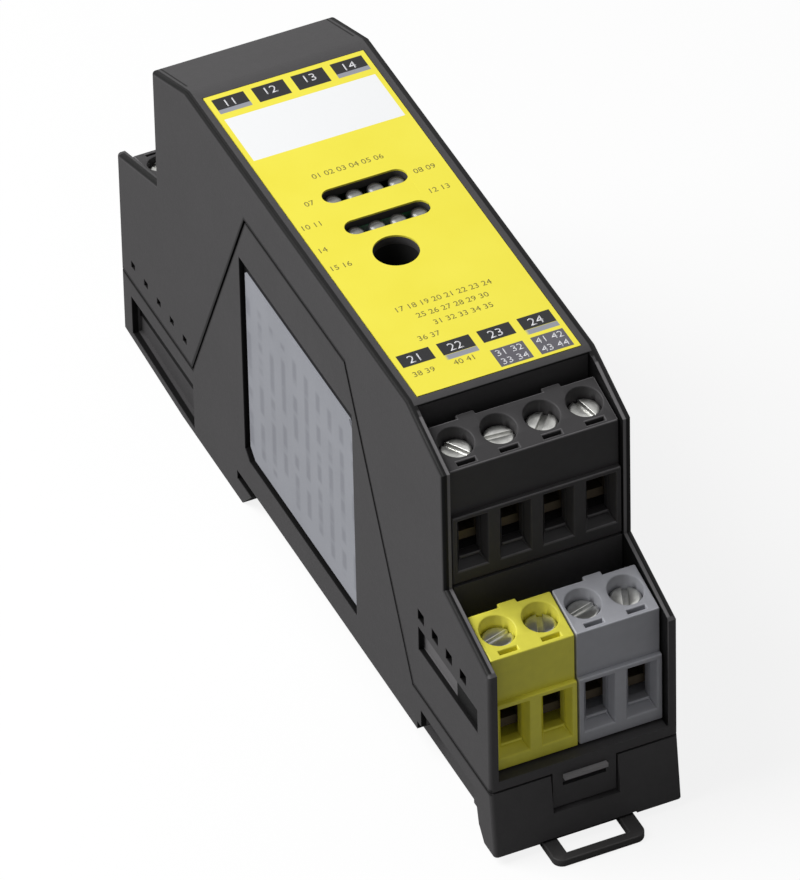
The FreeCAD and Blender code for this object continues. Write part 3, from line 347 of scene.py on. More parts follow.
floor_finish = bpy.data.materials.new("studio_floor")
floor_finish.use_nodes = True
nodes = Nodes(floor_finish.node_tree)
seen = any_ray(nodes, ("Is Camera Ray", "Is Transmission Ray"))
floor_tone = nodes.blend(seen, grey(FLOOR_BOUNCE), grey(1.0))
matt = nodes.add("ShaderNodeBsdfDiffuse", {}, {"Color": floor_tone})
glow = nodes.add("ShaderNodeEmission", {}, {"Color": grey(1.0), "Strength": 1.0})
shell = nodes.add("ShaderNodeMixShader", {}, {0: FLOOR_WHITE * seen, 1: matt, 2: glow})
nodes.add("ShaderNodeOutputMaterial", {}, {"Surface": shell})
floor_mesh.materials.append(floor_finish)
print("floor at %.1f mm" % (cad_box[0][2] / MM))

# %% Sky
SKY_BOUNCE = 0.16

sky = bpy.data.worlds.new("studio_sky")
sky.use_nodes = True
bpy.context.scene.world = sky
nodes = Nodes(sky.node_tree)
seen = any_ray(nodes, ("Is Camera Ray", "Is Glossy Ray", "Is Transmission Ray"))
sky_tone = nodes.blend(seen, grey(SKY_BOUNCE), grey(1.0))
light = nodes.add("ShaderNodeBackground", {}, {"Color": sky_tone, "Strength": 1.0})
nodes.add("ShaderNodeOutputWorld", {}, {"Surface": light})
print("sky gives a light of", SKY_BOUNCE)

# %% Lamp
LAMP_PLACE = (-0.40, 0.14, 0.545)
LAMP_SIZE = 0.45
LAMP_POWER = 5.4


def soft_lamp(name, place, size, power):
    """A square lamp that faces the module."""
    lamp = bpy.data.lights.new(name, "AREA")
    lamp.size = size
    lamp.energy = power
    toward = Vector(AIM) - Vector(place)
    turned = toward.to_track_quat("-Z", "Y").to_matrix().to_4x4()
    placed(name, lamp).matrix_world = Matrix.Translation(place) @ turned


soft_lamp("key_lamp", LAMP_PLACE, LAMP_SIZE, LAMP_POWER)
print("one lamp of", LAMP_POWER, "watts")

# %% [markdown]
# ## Painted shade and highlights on the housing
# The outer rim of the housing gets a painted dark reflection. The crown strip before the film and the inner
# walls of the bays get painted shade, so these are darker than the rest, and a band of painted shade lies
# along the seam between base and hood. The ledge of the near snap and the brinks of the near bays get
# painted highlights. Such marks could be painted on by hand, but each follows a plain rule of place. So
# each is a mask, a number between 0 and 1 that is worked out from the point on the piece.

# %% Masks of the housing
HALF_WIDTH = cad_box[1][0] / MM
RIM_WIDTH = 0.8
RIM_SPARE = 0.03
RIM_SOFT = 0.1
RIM_ENDS = 49.1
END_SOFT = 0.2
CROWN = (45.4, 46.4)
CROWN_STRIP = (-31.2, -29.9)
BAY_WALL = (10.0, 10.24)
BAYS = (29.0, 49.2)
BRINK = (10.22, 10.62)
BRINK_SHARE = 0.45
NEAR_BAYS = (-49.1, -31.2)
LEDGE_HALF = 2.65
LEDGE_REACH = (-51.0, -49.54)
LEDGE_HEIGHT = (4.85, 5.45)
SEAM_ROOT, SEAM_HEAD = 29.5, 13.1
SEAM_LOW, SEAM_TOP = 5.6, 39.3
SEAM_REACH = (-0.25, 0.7)
SEAM_SOFT = 0.15
SEAM_SKIN = 0.3


def painted_shade_mask(nodes):
    """1 where shade is painted: a dark reflection along both sides, shade on the crown strip and inside the
    bays.
    """
    x, y, z = nodes.millimetres()
    band = inside(x.size(), HALF_WIDTH - RIM_WIDTH, HALF_WIDTH - RIM_SPARE, RIM_SOFT)
    sides = band * below(y.size(), RIM_ENDS, END_SOFT)
    strip = inside(y, *CROWN_STRIP, RIM_SOFT) * inside(z, *CROWN, RIM_SOFT)
    walls = inside(x.size(), *BAY_WALL) * inside(y.size(), *BAYS) * inside(z, 0, CROWN[0])
    return sides.largest(strip).largest(walls)


def painted_highlight_mask(nodes):
    """Painted highlight: 1 on the ledge of the near snap, less on the brinks of the near bays."""
    x, y, z = nodes.millimetres()
    brinks = BRINK_SHARE * inside(x.size(), *BRINK) * inside(y, *NEAR_BAYS, END_SOFT)
    ledge = below(x.size(), LEDGE_HALF) * inside(y, *LEDGE_REACH) * inside(z, *LEDGE_HEIGHT)
    return brinks.largest(ledge)


def seam_shade_mask(nodes):
    """Painted shade, 1 along the seam of base and hood: near the outline of the base's raised tongue and
    low part.
    """
    x, y, z = nodes.millimetres()
    lean = (SEAM_ROOT - SEAM_HEAD) / (SEAM_TOP - SEAM_LOW)
    flank = (y.size() + lean * (z - SEAM_LOW) - SEAM_ROOT) * math.cos(math.atan(lean))
    outside = flank.largest(z - SEAM_TOP).smallest(z - SEAM_LOW)
    return inside(outside, *SEAM_REACH, SEAM_SOFT) * above(x.size(), HALF_WIDTH - SEAM_SKIN)


print("housing is %.1f mm wide" % (2 * HALF_WIDTH))

# %% [markdown]
# ## Moulded plastics
# Housing, plugs and foot are moulded. The mould's spark-eroded skin leaves a fine grain on the plastic, and
# the melt leaves faint clouds where it flowed. Each plastic could have its own tree of nodes, but they
# differ only in a few numbers, so one function makes all of them: clouds vary the tone and the gloss, the
# grain feeds a bump. The black ones have a low specular level, because their skin is matt. Rolled edges get
# a painted highlight: the mouldings made further down carry an attribute that says how much each face gets,
# and the finish follows it. The housing also gets the painted shade and highlights of its masks.

# %% Plastics
# shares of painted shade on rim and seam, lift of the painted highlights, and the black of the painted
# shade
RIM_SHADE, SEAM_SHADE = 0.98, 0.7
HIGHLIGHT_LIFT = 4.5
SHADE_BLACK = paint(8, 8, 8)
CLOUDS, SPECKS, GRAINS = 120.0, 900.0, 5200.0


def start(name):
    """A new finish and its tree."""
    finish = bpy.data.materials.new(name)
    finish.use_nodes = True
    return finish, Nodes(finish.node_tree)


def end(nodes, sockets):
    """Closes a tree with the usual surface shader."""
    shader = nodes.add("ShaderNodeBsdfPrincipled", {}, sockets)
    nodes.add("ShaderNodeOutputMaterial", {}, {"Surface": shader})


def shaded(colour, share):
    """A colour made darker or paler by a share of its light."""
    return tuple(share * part for part in colour[:3]) + (1.0,)


def moulded(name, colour, roughness, specular, grain, edge_lift, rim=False):
    """Plastic from a mould: clouds of 8 mm and 1 mm in tone and gloss, grain of 0.2 mm, painted highlight
    on rolled edges.
    """
    finish, nodes = start(name)
    place = nodes.place()
    cloud = nodes.noise(place, CLOUDS, 3.0)
    speck = nodes.noise(place, SPECKS, 3.0)
    skin = nodes.noise(place, GRAINS, 1.0)
    worn = nodes.add("ShaderNodeAttribute", {"attribute_name": "worn"}, {}, "Fac")
    tone = nodes.blend(0.65 * cloud + 0.35 * speck, shaded(colour, 0.80), shaded(colour, 1.22))
    # the housing gets painted shade and dark reflection from its masks, then painted highlights on ledge
    # and brinks
    if rim:
        dark = (RIM_SHADE * painted_shade_mask(nodes)).largest(SEAM_SHADE * seam_shade_mask(nodes))
        tone = nodes.blend(dark, tone, SHADE_BLACK)
        tone = nodes.blend(painted_highlight_mask(nodes), tone, shaded(colour, HIGHLIGHT_LIFT))
    # painted highlight on the rolled edges, broken up by the specks
    tone = nodes.blend(worn * (0.6 + 0.5 * speck), tone, shaded(colour, edge_lift))
    end(nodes, {
        "Base Color": tone,
        "Roughness": roughness - 0.12 + 0.14 * cloud + 0.10 * skin,
        "Specular IOR Level": specular,
        "Normal": nodes.bump(skin, grain),
    })
    return finish


plastics = {
    # colour, roughness, specular level, depth of the grain, lift of the painted edge highlight, whether it
    # has the housing's painted shade and highlights
    "housing_black": (paint(71, 70, 71), 0.50, 0.15, 1.2e-5, 1.9, True),
    "foot_black": (paint(62, 61, 61), 0.46, 0.16, 0.6e-5, 1.5),
    "header_black": (paint(34, 34, 34), 0.46, 0.15, 0.6e-5, 1.5),
    "plug_black": (paint(62, 61, 62), 0.48, 0.15, 0.8e-5, 3.8),
    "plug_yellow": (paint(230, 223, 82), 0.42, 0.30, 0.8e-5, 1.15),
    "plug_grey": (paint(168, 169, 175), 0.42, 0.30, 0.8e-5, 1.35),
    "chip_black": (paint(34, 34, 36), 0.50, 0.25, 1.0e-5, 1.5),
    "coil_ferrite": (paint(62, 62, 66), 0.60, 0.25, 2.0e-5, 1.5),
}
finishes = {name: moulded(name, *look) for name, look in plastics.items()}
print(len(finishes), "plastics")

# %% [markdown]
# ## The printed films
# The front label is a yellow polyester film with a white writing field and rows of marking blocks, one for
# each terminal. Print could be an image, but these fields are plain rectangles, so each is a mask: 1
# between two limits and 0 outside, with edges as soft as ink. A row of blocks is one mask that repeats
# across the film. The light grey film on the left side has faint columns of print, which noise along the
# height breaks into runs of uneven length.

# %% Front film
FIELD_HALF = 9.15
WHITE_FIELD = (14.9, 22.9)
BLOCK_PITCH = 4.78
BLOCK_START, BLOCK_WIDTH = 0.05, 3.95
FAR_BLOCKS = (23.9, 26.6)
FAR_SPLIT = 24.65
NEAR_BLOCKS = (-24.15, -22.0)
NEAR_TAIL = (-25.0, -24.15)
NOTE_BLOCKS = (-28.6, -25.5)
INK = paint(26, 26, 28)
PALE_INK = paint(150, 152, 160)
NOTE_GREY = paint(94, 92, 99)
FIBRES, TINTS = 2600.0, 150.0


def printed_film(name):
    """Yellow film: white field, blocks that repeat across it, and a fine satin grain."""
    finish, nodes = start(name)
    x, y, _ = nodes.millimetres()
    place = nodes.place()
    fibre = nodes.noise(place, FIBRES, 2.0)
    cloud = nodes.noise(place, TINTS, 2.0)
    column = (x + FIELD_HALF) / BLOCK_PITCH
    field = inside(x, -FIELD_HALF, FIELD_HALF)
    blocks = field * inside(column.part() * BLOCK_PITCH, BLOCK_START, BLOCK_WIDTH)
    outer = above(x.size(), BLOCK_PITCH)
    second = inside((column / 2).part(), 0.5, 1.0)
    black = blocks * (inside(y, *FAR_BLOCKS) + inside(y, *NEAR_BLOCKS))
    pale = blocks * (outer * inside(y, FAR_BLOCKS[0], FAR_SPLIT) + second * inside(y, *NEAR_TAIL))
    note = blocks * inside(x, 0, FIELD_HALF) * inside(y, *NOTE_BLOCKS)
    base = nodes.blend(cloud, paint(240, 227, 66), paint(247, 236, 84))
    base = nodes.blend(field * inside(y, *WHITE_FIELD), base, paint(244, 245, 246))
    base = nodes.blend(black.limited(), base, INK)
    base = nodes.blend(pale.limited(), base, PALE_INK)
    base = nodes.blend(note, base, NOTE_GREY)
    end(nodes, {
        "Base Color": base,
        "Roughness": 0.34 + 0.12 * fibre + 0.05 * cloud,
        "Specular IOR Level": 0.3,
        "Normal": nodes.bump(fibre, 3e-6),
    })
    return finish


finishes["label_yellow"] = printed_film("label_yellow")
print("front film is printed %.1f mm wide" % (2 * FIELD_HALF))

# %% Side film
PRINT_PITCH = 3.1
PRINT_BAND, PRINT_SOFT = (0.2, 0.7), 0.16
PRINT_HEIGHT, PRINT_FADE = (6.5, 28.5), 0.5
PRINT_SHARE = 0.38
RUN_APART, RUN_STRETCH = 9.7, 0.35
RUN_START, RUN_SOFT = 0.40, 0.12


def side_film(name):
    """Light grey film: print in a band of each column, where noise along the height is high enough."""
    finish, nodes = start(name)
    _, y, z = nodes.millimetres()
    place = nodes.place()
    fibre = nodes.noise(place, FIBRES, 2.0)
    line = y / PRINT_PITCH
    way = {"X": RUN_APART * (line - line.part()), "Y": RUN_STRETCH * z}
    run = nodes.noise(nodes.add("ShaderNodeCombineXYZ", {}, way), 1.0, 1.0)
    band = inside(line.part(), *PRINT_BAND, PRINT_SOFT) * inside(z, *PRINT_HEIGHT, PRINT_FADE)
    print_mask = band * above(run, RUN_START, RUN_SOFT)
    tone = nodes.blend(nodes.noise(place, TINTS, 2.0), paint(150, 152, 159), paint(162, 164, 171))
    end(nodes, {
        "Base Color": nodes.blend(PRINT_SHARE * print_mask, tone, paint(108, 109, 118)),
        "Roughness": 0.36 + 0.14 * fibre,
        "Specular IOR Level": 0.3,
        "Normal": nodes.bump(fibre, 3e-6),
    })
    return finish


finishes["label_grey"] = side_film("label_grey")
print("side film has a column of print every", PRINT_PITCH, "mm")

# %% [markdown]
# ## Metals, lenses and boards
# The screws and clamps are plated steel, the contacts tinned brass. Turned metal shows fine rings round its
# axis, so a screw carries its distance from the axis as an attribute, and noise along that one number draws
# the rings. Rolled strip has its lines along its length instead. A lens gathers the lamp's light on the
# side that faces away from the lamp, so it is dark towards the far end and pale towards the near one: an
# attribute tells the two sides apart.

# %% Metals
RINGS, LINES = 14000.0, 6000.0
LATHE_DIRT, STRIP_DIRT = 1500.0, 700.0


def turned_steel(name, colour, roughness):
    """Plated steel off a lathe: rings are noise of the distance from the axis, with dirt between them."""
    finish, nodes = start(name)
    reach = nodes.add("ShaderNodeAttribute", {"attribute_name": "reach"}, {}, "Fac")
    rings = nodes.noise(nodes.add("ShaderNodeCombineXYZ", {}, {"X": reach}), RINGS, 2.0)
    dirt = nodes.noise(nodes.place(), LATHE_DIRT, 3.0)
    end(nodes, {
        "Base Color": nodes.blend(dirt, colour, shaded(colour, 0.5)),
        "Metallic": 1.0,
        "Roughness": roughness + 0.10 * rings + 0.10 * dirt,
        "Normal": nodes.bump(rings, 4e-6),
    })
    return finish


def strip_metal(name, colour, roughness, stretch):
    """Rolled or drawn metal: noise pulled long in one direction makes its lines."""
    finish, nodes = start(name)
    place = nodes.place()
    pulled = nodes.add("ShaderNodeMapping", {}, {"Vector": place, "Scale": stretch})
    lines = nodes.noise(pulled, LINES, 2.0)
    dirt = nodes.noise(place, STRIP_DIRT, 3.0)
    end(nodes, {
        "Base Color": nodes.blend(0.7 * dirt, colour, shaded(colour, 0.7)),
        "Metallic": 1.0,
        "Roughness": roughness + 0.12 * lines + 0.08 * dirt,
        "Normal": nodes.bump(lines, 3e-6),
    })
    return finish


strips = {
    # colour, roughness and stretch of the lines
    # clamp steel is painted dark brown, as painted shade deep inside the wire entries
    "clamp_steel": (paint(80, 72, 60), 0.44, (1.0, 1.0, 0.08)),
    "spring_steel": (paint(176, 178, 182), 0.28, (1.0, 1.0, 0.05)),
    "can_aluminium": (paint(214, 216, 220), 0.26, (1.0, 1.0, 0.03)),
    "contact_brass": (paint(214, 200, 150), 0.28, (1.0, 0.06, 1.0)),
}
finishes["screw_steel"] = turned_steel("screw_steel", paint(226, 226, 222), 0.22)
finishes.update({name: strip_metal(name, *look) for name, look in strips.items()})
print(len(strips) + 1, "metals")

# %% Lens and board
LENS_CLOUDS, BOARD_CLOUDS = 1800.0, 300.0
GATHER_START, GATHER_SOFT = 0.15, 0.45
THREAD_APART = 0.45
THREAD_BAND, THREAD_SOFT = (0.1, 0.9), 0.2


def smoky_lens(name):
    """Smoky plastic: dark on the far side, pale on the near side where the light is gathered."""
    finish, nodes = start(name)
    lean = nodes.add("ShaderNodeAttribute", {"attribute_name": "lean"}, {}, "Fac")
    cloud = nodes.noise(nodes.place(), LENS_CLOUDS, 2.0)
    gathered = above(lean + 0.3 * cloud, GATHER_START, GATHER_SOFT)
    end(nodes, {
        "Base Color": nodes.blend(gathered, paint(44, 43, 42), paint(136, 136, 133)),
        "Roughness": 0.22 + 0.14 * cloud,
        "Coat Weight": 0.4,
        "Coat Roughness": 0.12,
    })
    return finish


def board_laminate(name):
    """Green solder mask over glass cloth: the cloth's two thread directions show as a fine weave."""
    finish, nodes = start(name)
    x, y, z = nodes.millimetres()
    warp, weft = ((way / THREAD_APART).part() for way in (y, x + z))
    threads = inside(warp, *THREAD_BAND, THREAD_SOFT) * inside(weft, *THREAD_BAND, THREAD_SOFT)
    cloud = nodes.noise(nodes.place(), BOARD_CLOUDS, 2.0)
    tone = nodes.blend(0.5 * threads + 0.4 * cloud, paint(18, 70, 40), paint(34, 104, 60))
    end(nodes, {
        "Base Color": tone,
        "Roughness": 0.30 + 0.15 * cloud,
        "Normal": nodes.bump(threads, 8e-6),
    })
    return finish


finishes["light_lens"] = smoky_lens("light_lens")
finishes["board_green"] = board_laminate("board_green")

for node, slot in slot_of.items():
    for material_slot in frame["nodes"][node].material_slots:
        material_slot.material = finishes[slot]
print(len(finishes), "finishes on", len(slot_of), "nodes")

# %% [markdown]
# ## Rolled edges on the mouldings
# No moulded edge is a knife: the mould rolls it by a tenth of a millimetre or two, and that thin roll
# catches the light along every outline. The node's mesh is loose triangles, so a copy is welded and its
# flat faces are joined up and cut again where they would turn inwards. Then each outer edge that turns by
# more than thirty degrees is rolled. A Bevel modifier could do that, but it can't note on the new faces how
# much painted highlight each gets, so the bevel runs in code. Inner corners stay sharp. A Weighted Normal
# modifier lets the large flat faces set the shading at their borders, so that the rolls don't smear over
# them. The plugs get one more touch: each wire entry is a shallow frame round a tall dark passage, so the
# points at the inner ends of the funnels are drawn forward, and those on the floors of the passages and of
# the clamps' chambers are lowered.

# %% Wire entries
SPARE = 0.01 * MM
ENTRY_TOP = 9.0 * MM
FUNNEL_DEPTH, FRAME_DEPTH = 1.6 * MM, 0.85 * MM
PASSAGE_FLOOR, LOW_PASSAGE = 4.65 * MM, 2.95 * MM
CHAMBER_FLOOR, LOW_CHAMBER = 3.6 * MM, 2.6 * MM
terminals = {
    # which way each plug faces along the module
    "near_upper": -1, "near_left": -1, "near_right": -1, "far_lower": 1,
}


def open_entries(mesh, forward):
    """Moves points that lie at a funnel's depth behind the front, or at a floor's height over the foot."""
    points = points_of(mesh)
    front = (forward * points[:, 1]).max()
    foot = points[:, 2].min()
    depth = front - forward * points[:, 1]
    height = points[:, 2] - foot
    funnel_end = np.isclose(depth, FUNNEL_DEPTH, 0, SPARE) & (height < ENTRY_TOP)
    passage_floor = np.isclose(height, PASSAGE_FLOOR, 0, SPARE)
    chamber_floor = np.isclose(height, CHAMBER_FLOOR, 0, SPARE)
    points[funnel_end, 1] = forward * (front - FRAME_DEPTH)
    points[passage_floor, 2] = foot + LOW_PASSAGE
    points[chamber_floor, 2] = foot + LOW_CHAMBER
    mesh.vertices.foreach_set("co", points.ravel())
    return funnel_end.sum(), passage_floor.sum(), chamber_floor.sum()


print(len(terminals), "plugs have wire entries")

# %% Mouldings
FLAT = math.radians(0.5)
SHARP = math.radians(30)
# share of the painted highlight on rolls that don't face up
SIDE_HIGHLIGHT = 0.12
LONG_ROLL = 0.3 * MM ** 2
HOUSING_ROLL, FOOT_ROLL, PLUG_ROLL = 0.12 * MM, 0.15 * MM, 0.22 * MM


def rolled_copy(node, radius, forward=0):
    """The node's shape with its outer edges rolled by a radius; long rolls that face up get the most
    painted highlight.
    """
    mesh = frame["nodes"][node].data.copy()
    mesh.name = node + "_rolled"
    if forward:
        print(node, "points moved:", *open_entries(mesh, forward))
    work = bmesh.new()
    work.from_mesh(mesh)
    bmesh.ops.remove_doubles(work, verts=work.verts, dist=WELD)
    bmesh.ops.dissolve_limit(work, angle_limit=FLAT, verts=work.verts, edges=work.edges)
    bmesh.ops.connect_verts_concave(work, faces=work.faces)
    worn = work.faces.layers.float.new("worn")
    outer = [edge for edge in work.edges if edge.calc_face_angle_signed(0.0) > SHARP]
    rolled = bmesh.ops.bevel(
        work, geom=outer, offset=radius, segments=2, profile=0.5, affect="EDGES",
        clamp_overlap=True, loop_slide=False,
    )
    work.normal_update()
    # painted highlight on the new rolls: more on long ones, most on those that face up
    for face in rolled["faces"]:
        exposed = min(face.calc_area() / LONG_ROLL, 1.0)
        face[worn] = exposed * (SIDE_HIGHLIGHT + (1 - SIDE_HIGHLIGHT) * max(face.normal.z, 0.0))
    for edge in work.edges:
        edge.smooth = edge.calc_face_angle_signed(0.0) > -SHARP
    work.to_mesh(mesh)
    work.free()
    normals = mesh.attributes.get("custom_normal")
    if normals:
        mesh.attributes.remove(normals)
    mesh.polygons.foreach_set("use_smooth", np.ones(len(mesh.polygons), dtype=bool))
    piece = placed(mesh.name, mesh)
    shading = piece.modifiers.new("flat_faces_lead", "WEIGHTED_NORMAL")
    shading.keep_sharp = True
    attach(piece, body_of[node])
    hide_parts(node)
    return piece


mouldings = [rolled_copy(node, HOUSING_ROLL) for node in ("base_housing", "upper_housing")]
mouldings.append(rolled_copy("rail_foot", FOOT_ROLL))
mouldings += [rolled_copy(name + "_plug", PLUG_ROLL, forward) for name, forward in terminals.items()]
for moulding in mouldings:
    print(moulding.name, len(moulding.data.polygons), "faces")

# %% [markdown]
# ## Numbers on the film
# The film names each terminal and light with plain numbers. Masks can't draw digits well, so a text object
# draws them with the font that Blender carries. A thin extrusion gives the ink a body, and its triangles
# are gathered into one mesh for each ink. Ink lies on the film, so a welded copy of the film has its upper
# face lowered by a hair to make room for it.

# %% Film with room for ink
INK_ROOM = 0.02 * MM

film = frame["nodes"]["front_label"].data.copy()
film.name = "front_film"
weld(film)
points = points_of(film)
print_level = points[:, 2].max() - INK_ROOM
points[:, 2] = np.minimum(points[:, 2], print_level)
film.vertices.foreach_set("co", points.ravel())
front_film = placed("front_film", film)
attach(front_film, body_of["front_label"])
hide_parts("front_label")
print("ink lies at %.2f mm" % (print_level / MM))

# %% Lines of type
INK_HALF = 0.006 * MM
DIGIT_SHARE = 0.73
ROUND_STEPS = 3
MOTTLES = 4000.0


def type_parts(line, left, base, height):
    """Points and triangles of a line of type; left end, base line and height are in mm on the film."""
    curve = bpy.data.curves.new("type", "FONT")
    curve.body = line
    curve.size = height * MM / DIGIT_SHARE
    curve.extrude = INK_HALF
    curve.resolution_u = ROUND_STEPS
    holder = placed("type", curve)
    drawn = holder.evaluated_get(bpy.context.evaluated_depsgraph_get())
    mesh = drawn.to_mesh()
    mesh.calc_loop_triangles()
    points = points_of(mesh)
    triangles = np.empty(len(mesh.loop_triangles) * 3, dtype=int)
    mesh.loop_triangles.foreach_get("vertices", triangles)
    drawn.to_mesh_clear()
    bpy.data.objects.remove(holder)
    bpy.data.curves.remove(curve)
    place = np.array((left * MM, base * MM, print_level + INK_HALF))
    return points + place, triangles.reshape(-1, 3)


def ink(name, colour):
    """Printing ink: even colour with a little mottling where the screen let less through."""
    finish, nodes = start(name)
    mottle = nodes.noise(nodes.place(), MOTTLES, 2.0)
    tone = nodes.blend(mottle, shaded(colour, 0.85), colour)
    end(nodes, {"Base Color": tone, "Roughness": 0.40 + 0.15 * mottle})
    return finish


print("type is", round(2 * INK_HALF / MM, 3), "mm thick")

# %% Numbers
BLOCK_DIGITS, NOTE_DIGITS, LEGEND_DIGITS = 1.3, 1.05, 0.85
BLOCK_INDENT, NOTE_INDENT = 1.0, 0.4
BLOCK_ROWS = (
    # first number and base line
    (11, 24.85), (21, -23.75),
)
NOTE_ROWS = (
    # numbers, column and base line
    ("31 32", 2, -26.8), ("33 34", 2, -28.3), ("41 42", 3, -26.8), ("43 44", 3, -28.3),
)
LEGEND_ROWS = (
    # left end, base line and how many numbers
    (-4.6, 9.2, 6), (-7.3, 5.2, 1), (5.8, 5.2, 2), (-9.4, 1.6, 2), (5.8, 1.4, 2),
    (-9.3, -2.7, 1), (-9.4, -6.0, 2), (-6.0, -15.4, 8), (-4.2, -17.2, 6), (-3.0, -19.0, 5),
    (-5.7, -20.8, 2), (-8.7, -26.0, 2), (-3.9, -26.1, 2),
)

columns = -FIELD_HALF + BLOCK_PITCH * np.arange(4)
blocks = [
    type_parts(str(first + number), left + BLOCK_INDENT, base, BLOCK_DIGITS)
    for first, base in BLOCK_ROWS
    for number, left in enumerate(columns)
]
blocks += [
    type_parts(line, columns[column] + NOTE_INDENT, base, NOTE_DIGITS)
    for line, column, base in NOTE_ROWS
]
counter = np.cumsum([1] + [count for _, _, count in LEGEND_ROWS])
lines = [
    " ".join("%02d" % (first + step) for step in range(count))
    for first, (_, _, count) in zip(counter, LEGEND_ROWS)
]
legends = [
    type_parts(line, left, base, LEGEND_DIGITS)
    for line, (left, base, _) in zip(lines, LEGEND_ROWS)
]
inks = (("block_numbers", blocks, (226, 226, 230)), ("legend_numbers", legends, (132, 122, 40)))
for name, parts, colour in inks:
    numbers = add_piece(name, parts, body_of["front_label"])
    numbers.data.materials.append(ink(name, paint(*colour)))
    print(name, len(numbers.data.polygons), "triangles")

# %% [markdown]
# ## Terminal screws
# Each pole has a slotted cheese-head screw with a rolled rim, a thread and a blunt tip. A Boolean could cut
# the slot, but it would leave long ragged faces that shade badly. So the head's face is a height over a
# disc: a square grid is pushed out to a circle, some of its lines run along the slot's lips, and the height
# falls to the slot's floor between them. The rim of that grid is a ring of points, and the side, the thread
# and the tip are more rings below it, so the whole screw is one closed surface.

# %% Screw head
HEAD_RADIUS = 1.8 * MM
RIM_ROUND = 0.35 * MM
SLOT_HALF = 0.35 * MM
SLOT_DEPTH = 0.6 * MM
LIP = 0.06 * MM
RIM_LINES, FLOOR_LINES, INNER_LINES = 12, 4, 6
LIP_STEPS = (0.0, 0.0, 0.15, 0.5, 1.0)
RIM_START = 0.22
INNER_SHARE = 0.9
CIRCLE_START = 0.55
TINY = 1e-9


def head_lines(across_slot):
    """Distances of grid lines from the middle: close at the rim, and on the slot's lips where wanted."""
    rim = HEAD_RADIUS * np.sin(np.linspace(RIM_START, 0.5, RIM_LINES) * math.pi)
    if across_slot:
        lip = SLOT_HALF + LIP * np.array(LIP_STEPS)
        inner = np.concatenate((np.linspace(0, SLOT_HALF - LIP, FLOOR_LINES), lip))
    else:
        inner = np.linspace(0, 1, INNER_LINES) * INNER_SHARE * rim[0]
    half = np.concatenate((inner, rim))
    return np.concatenate((-half[:0:-1], half))


def slot_profile(lines):
    """Depth over each line across the slot: the floor, a lip rounded by a quarter circle, then zero."""
    reach = np.clip((np.abs(lines) - SLOT_HALF) / LIP, 0, 1)
    depth = LIP * (1 - np.sqrt(1 - (1 - reach) ** 2))
    order = np.abs(np.arange(len(lines)) - len(lines) // 2)
    return np.where(order <= FLOOR_LINES, SLOT_DEPTH, depth)


def head_face():
    """Height over a disc: a square grid, eased out to a circle, that falls at the rim and in the slot."""
    across = head_lines(True)
    u, v = np.meshgrid(across, head_lines(False))
    longest = np.maximum(np.abs(u), np.abs(v))
    reach = np.hypot(u, v)
    ease = np.clip((longest / HEAD_RADIUS - CIRCLE_START) / (1 - CIRCLE_START), 0, 1)
    ease = ease * ease * (3 - 2 * ease)
    pull = 1 - ease + ease * longest / np.maximum(reach, TINY)
    u, v = u * pull, v * pull
    edge = np.clip((np.hypot(u, v) - HEAD_RADIUS + RIM_ROUND) / RIM_ROUND, 0, 1)
    drop = RIM_ROUND * (1 - np.sqrt(1 - edge ** 2))
    return np.stack((u, v, -np.maximum(drop, slot_profile(across)[None, :])), axis=-1)


print("head has", head_face().shape[:2], "points")

# %% Screw surface
HEAD_HEIGHT = 1.35 * MM
SHANK_RADIUS = 1.2 * MM
THREAD_PITCH = 0.5 * MM
THREAD_DEPTH = 0.16 * MM
THREAD_STEPS = 5
TIP_LENGTH = 0.8 * MM
TIP_RINGS = 6


def shank_rings(rim, length):
    """Rings below the rim: side, underside, a thread whose ridge climbs with the angle, a round tip."""
    angle = np.arctan2(rim[:, 1], rim[:, 0])
    even = np.ones_like(angle)
    climb = np.arange(-HEAD_HEIGHT, TIP_LENGTH - length, -THREAD_PITCH / THREAD_STEPS)[:, None]
    phase = (climb / THREAD_PITCH + angle / (2 * math.pi)) % 1
    ridge = SHANK_RADIUS - THREAD_DEPTH * np.abs(2 * phase - 1)
    ridge[0] = SHANK_RADIUS
    bend = np.linspace(0, 1, TIP_RINGS)[:, None] * math.pi / 2
    tip = (SHANK_RADIUS - THREAD_DEPTH) * np.cos(bend) * even
    radius = np.concatenate((HEAD_RADIUS * even[None], ridge, tip))
    height = np.concatenate(([[-HEAD_HEIGHT]], climb, TIP_LENGTH - length - TIP_LENGTH * np.sin(bend)))
    rings = np.stack((radius * np.cos(angle), radius * np.sin(angle), height * even), axis=-1)
    return np.concatenate((rim[None], rings))


def screw_surface(centre, top, bottom, turn):
    """The head's face and the rings below its rim, turned about the axis and set at their place."""
    face = head_face()
    rim = np.concatenate((face[0, :-1], face[:-1, -1], face[-1, :0:-1], face[:0:-1, 0]))
    tube = shank_rings(rim, top - bottom)
    cosine, sine = math.cos(turn), math.sin(turn)
    spin = np.array(((cosine, sine, 0), (-sine, cosine, 0), (0, 0, 1)))
    place = np.array((*centre, top))
    head = face.reshape(-1, 3) @ spin + place, grid_faces(*face.shape[:2], False)
    body = tube.reshape(-1, 3) @ spin + place, grid_faces(*tube.shape[:2], True)[:, ::-1]
    return [head, body]


print("thread has", THREAD_STEPS, "rings in each turn")

# %% Screws
SLOT_TURN = 53


def keep_reach(piece, centre):
    """Stores each point's distance from the axis, which the rings of the finish follow."""
    reach = np.hypot(*(points_of(piece.data)[:, :2] - centre).T)
    piece.data.attributes.new("reach", "FLOAT", "POINT").data.foreach_set("value", reach)


